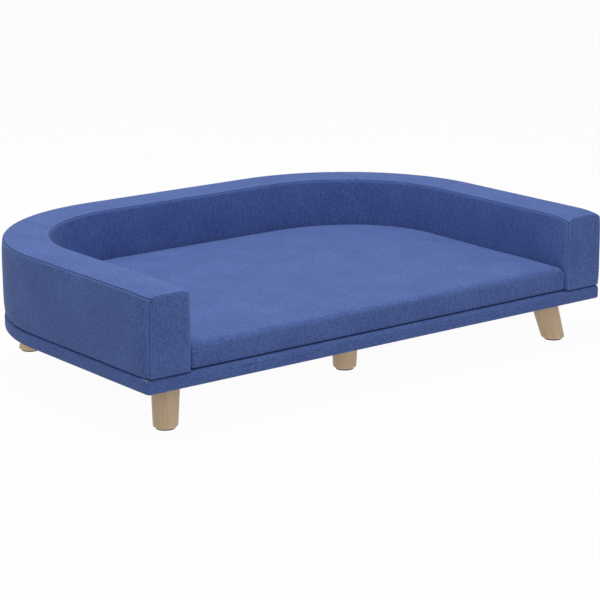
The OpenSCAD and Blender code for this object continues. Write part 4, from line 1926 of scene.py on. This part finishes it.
def legs() -> list[Leg]:
    """Lists the four splayed corner legs and the two upright middle ones.

    Returns:
        The legs, the corner ones first.
    """
    front = (392 * MM, -259.5 * MM)
    rear = (328 * MM, 234.5 * MM)
    middle = (8 * MM, 179.5 * MM)
    heading = math.radians(52)
    return [
        Leg("front_left", (-front[0], front[1]), math.pi + heading),
        Leg("front_right", front, -heading),
        Leg("rear_left", (-rear[0], rear[1]), math.pi - heading),
        Leg("rear_right", rear, heading),
        Leg("front_middle", (middle[0], -middle[1]), None),
        Leg("rear_middle", middle, None),
    ]


# The studio


def wired(
    tree: bpy.types.NodeTree,
    kinds: dict[str, str],
    links: Iterable[tuple[str, int | str, str, int | str]],
) -> dict[str, bpy.types.Node]:
    """Fills a node tree anew.

    Args:
        tree: The node tree.
        kinds: Blender's name of each node, without ShaderNode, by a short name.
        links: From which node's output to which node's input each link runs.

    Returns:
        The nodes, by their short names.
    """
    tree.nodes.clear()
    nodes = {name: tree.nodes.new("ShaderNode" + kind) for name, kind in kinds.items()}
    for source, output, target, socket in links:
        tree.links.new(nodes[source].outputs[output], nodes[target].inputs[socket])
    return nodes


@dataclass(frozen=True)
class Lamp:
    """Square area lamp, in metres and watts."""

    name: str
    place: tuple[float, float, float]
    size: float
    power: float


@dataclass(frozen=True)
class Studio:
    """Camera at the photograph's angle, white floor and soft light from above."""

    azimuth: float = math.radians(-37.4466)
    elevation: float = math.radians(14.3321)
    roll: float = math.radians(-0.4417)
    target: tuple[float, float, float] = (-135.58 * MM, -250.53 * MM, 150 * MM)
    distance: float = 3240.11 * MM
    focal_share: float = 2131.42 / 600
    clip: tuple[float, float] = (0.05, 60)
    floor_size: float = 60
    floor_drop: float = 0.2 * MM
    floor_matt: Colour = (0.30, 0.30, 0.30)
    floor_pale: Colour = (0.9, 0.9, 0.9)
    floor_glow_seen: float = 0.965
    floor_glow_given: float = 0.53
    sky: Colour = (0.96, 0.98, 1)
    sky_strength: float = 0.25
    lamps: tuple[Lamp, ...] = (
        Lamp("overhead", (-0.2, -0.05, 2.4), 2.6, 52),
        Lamp("front", (0.2, -3.2, 0.4), 1.6, 9),
    )
    lamp_aim: tuple[float, float, float] = (0, 0, 0.12)

    def build(self) -> None:
        """Sets up the camera, the floor, the lamps and the white surround."""
        self.add_camera()
        self.add_floor()
        self.add_lamps()
        self.add_surround()
        bpy.context.scene.view_settings.view_transform = "Standard"

    def add_camera(self) -> None:
        """Places the camera by its angles, its target and its distance."""
        a, e = self.azimuth, self.elevation
        back = Vector((math.sin(a) * math.cos(e), -math.cos(a) * math.cos(e), math.sin(e)))
        data = bpy.data.cameras.new("photograph")
        data.lens = self.focal_share * data.sensor_width
        data.clip_start, data.clip_end = self.clip
        camera = bpy.data.objects.new("photograph", data)
        bpy.context.scene.collection.objects.link(camera)
        right = (-back).cross(Vector((0, 0, 1))).normalized()
        up = right.cross(-back)
        turned_right = right * math.cos(self.roll) + up * math.sin(self.roll)
        turned_up = up * math.cos(self.roll) - right * math.sin(self.roll)
        pose = Matrix((turned_right, turned_up, back)).transposed().to_4x4()
        pose.translation = Vector(self.target) + back * self.distance
        camera.matrix_world = pose
        bpy.context.scene.camera = camera

    def add_floor(self) -> None:
        """Adds a floor that looks white and keeps a faint shadow."""
        put_down()
        bpy.ops.mesh.primitive_plane_add(size=self.floor_size, location=(0, 0, -self.floor_drop))
        floor = started("floor")
        material = bpy.data.materials.new("floor")
        material.use_nodes = True
        kinds = {
            "out": "OutputMaterial",
            "path": "LightPath",
            "either": "MixShader",
            "seen": "MixShader",
            "given": "MixShader",
            "matt": "BsdfDiffuse",
            "pale": "BsdfDiffuse",
            "glow": "Emission",
        }
        links = (
            ("matt", 0, "given", 1),
            ("glow", 0, "given", 2),
            ("pale", 0, "seen", 1),
            ("glow", 0, "seen", 2),
            ("path", "Is Camera Ray", "either", "Fac"),
            ("given", 0, "either", 1),
            ("seen", 0, "either", 2),
            ("either", 0, "out", "Surface"),
        )
        nodes = wired(material.node_tree, kinds, links)
        nodes["matt"].inputs["Color"].default_value = (*self.floor_matt, 1)
        nodes["pale"].inputs["Color"].default_value = (*self.floor_pale, 1)
        nodes["glow"].inputs["Strength"].default_value = 1
        nodes["seen"].inputs["Fac"].default_value = self.floor_glow_seen
        nodes["given"].inputs["Fac"].default_value = self.floor_glow_given
        floor.data.materials.append(material)

    def add_lamps(self) -> None:
        """Hangs one wide soft lamp overhead and a weak one at the front."""
        for lamp in self.lamps:
            data = bpy.data.lights.new(lamp.name, "AREA")
            data.energy = lamp.power
            data.size = lamp.size
            hung = bpy.data.objects.new(lamp.name, data)
            bpy.context.scene.collection.objects.link(hung)
            hung.location = lamp.place
            way = Vector(self.lamp_aim) - Vector(lamp.place)
            hung.rotation_euler = way.to_track_quat("-Z", "Y").to_euler()

    def add_surround(self) -> None:
        """Makes the world white to the camera and a plain grey light to the bed."""
        world = bpy.data.worlds.new("surround")
        bpy.context.scene.world = world
        world.use_nodes = True
        kinds = {
            "out": "OutputWorld",
            "path": "LightPath",
            "either": "MixShader",
            "white": "Background",
            "grey": "Background",
            "seen": "Math",
        }
        links = (
            ("path", "Is Camera Ray", "seen", 0),
            ("path", "Is Glossy Ray", "seen", 1),
            ("seen", 0, "either", "Fac"),
            ("grey", 0, "either", 1),
            ("white", 0, "either", 2),
            ("either", 0, "out", "Surface"),
        )
        nodes = wired(world.node_tree, kinds, links)
        nodes["seen"].operation = "MAXIMUM"
        nodes["white"].inputs["Color"].default_value = (1, 1, 1, 1)
        nodes["grey"].inputs["Color"].default_value = (*self.sky, 1)
        nodes["grey"].inputs["Strength"].default_value = self.sky_strength


# The bed


def dress_hidden_nodes(made: dict[str, bpy.types.Material]) -> None:
    """Gives every CAD node the material of its slot in the record.

    Args:
        made: Materials by slot.
    """
    slots = {part["node"]: part["material_slot"] for part in frame["record"]["subparts"]}
    for name, node in frame["nodes"].items():
        node.data.materials.clear()
        node.data.materials.append(made[slots[name]])


def main() -> None:
    """Builds the studio and every piece of the bed."""
    logging.basicConfig(level=logging.INFO, format="%(name)s %(message)s", stream=sys.stdout)
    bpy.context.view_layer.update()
    made = {finish.name: finish.material() for finish in FINISHES}
    dress_hidden_nodes(made)
    Studio().build()
    for leg in legs():
        leg.build(made["leg_wood"], made["glide_rubber"])
    Platform().build(made["linen"])
    DustCover().build(made)
    Bolster().build(made["linen"])
    Tacks().build(made)
    Mattress().build(made)


if __name__ == "__main__":
    main()
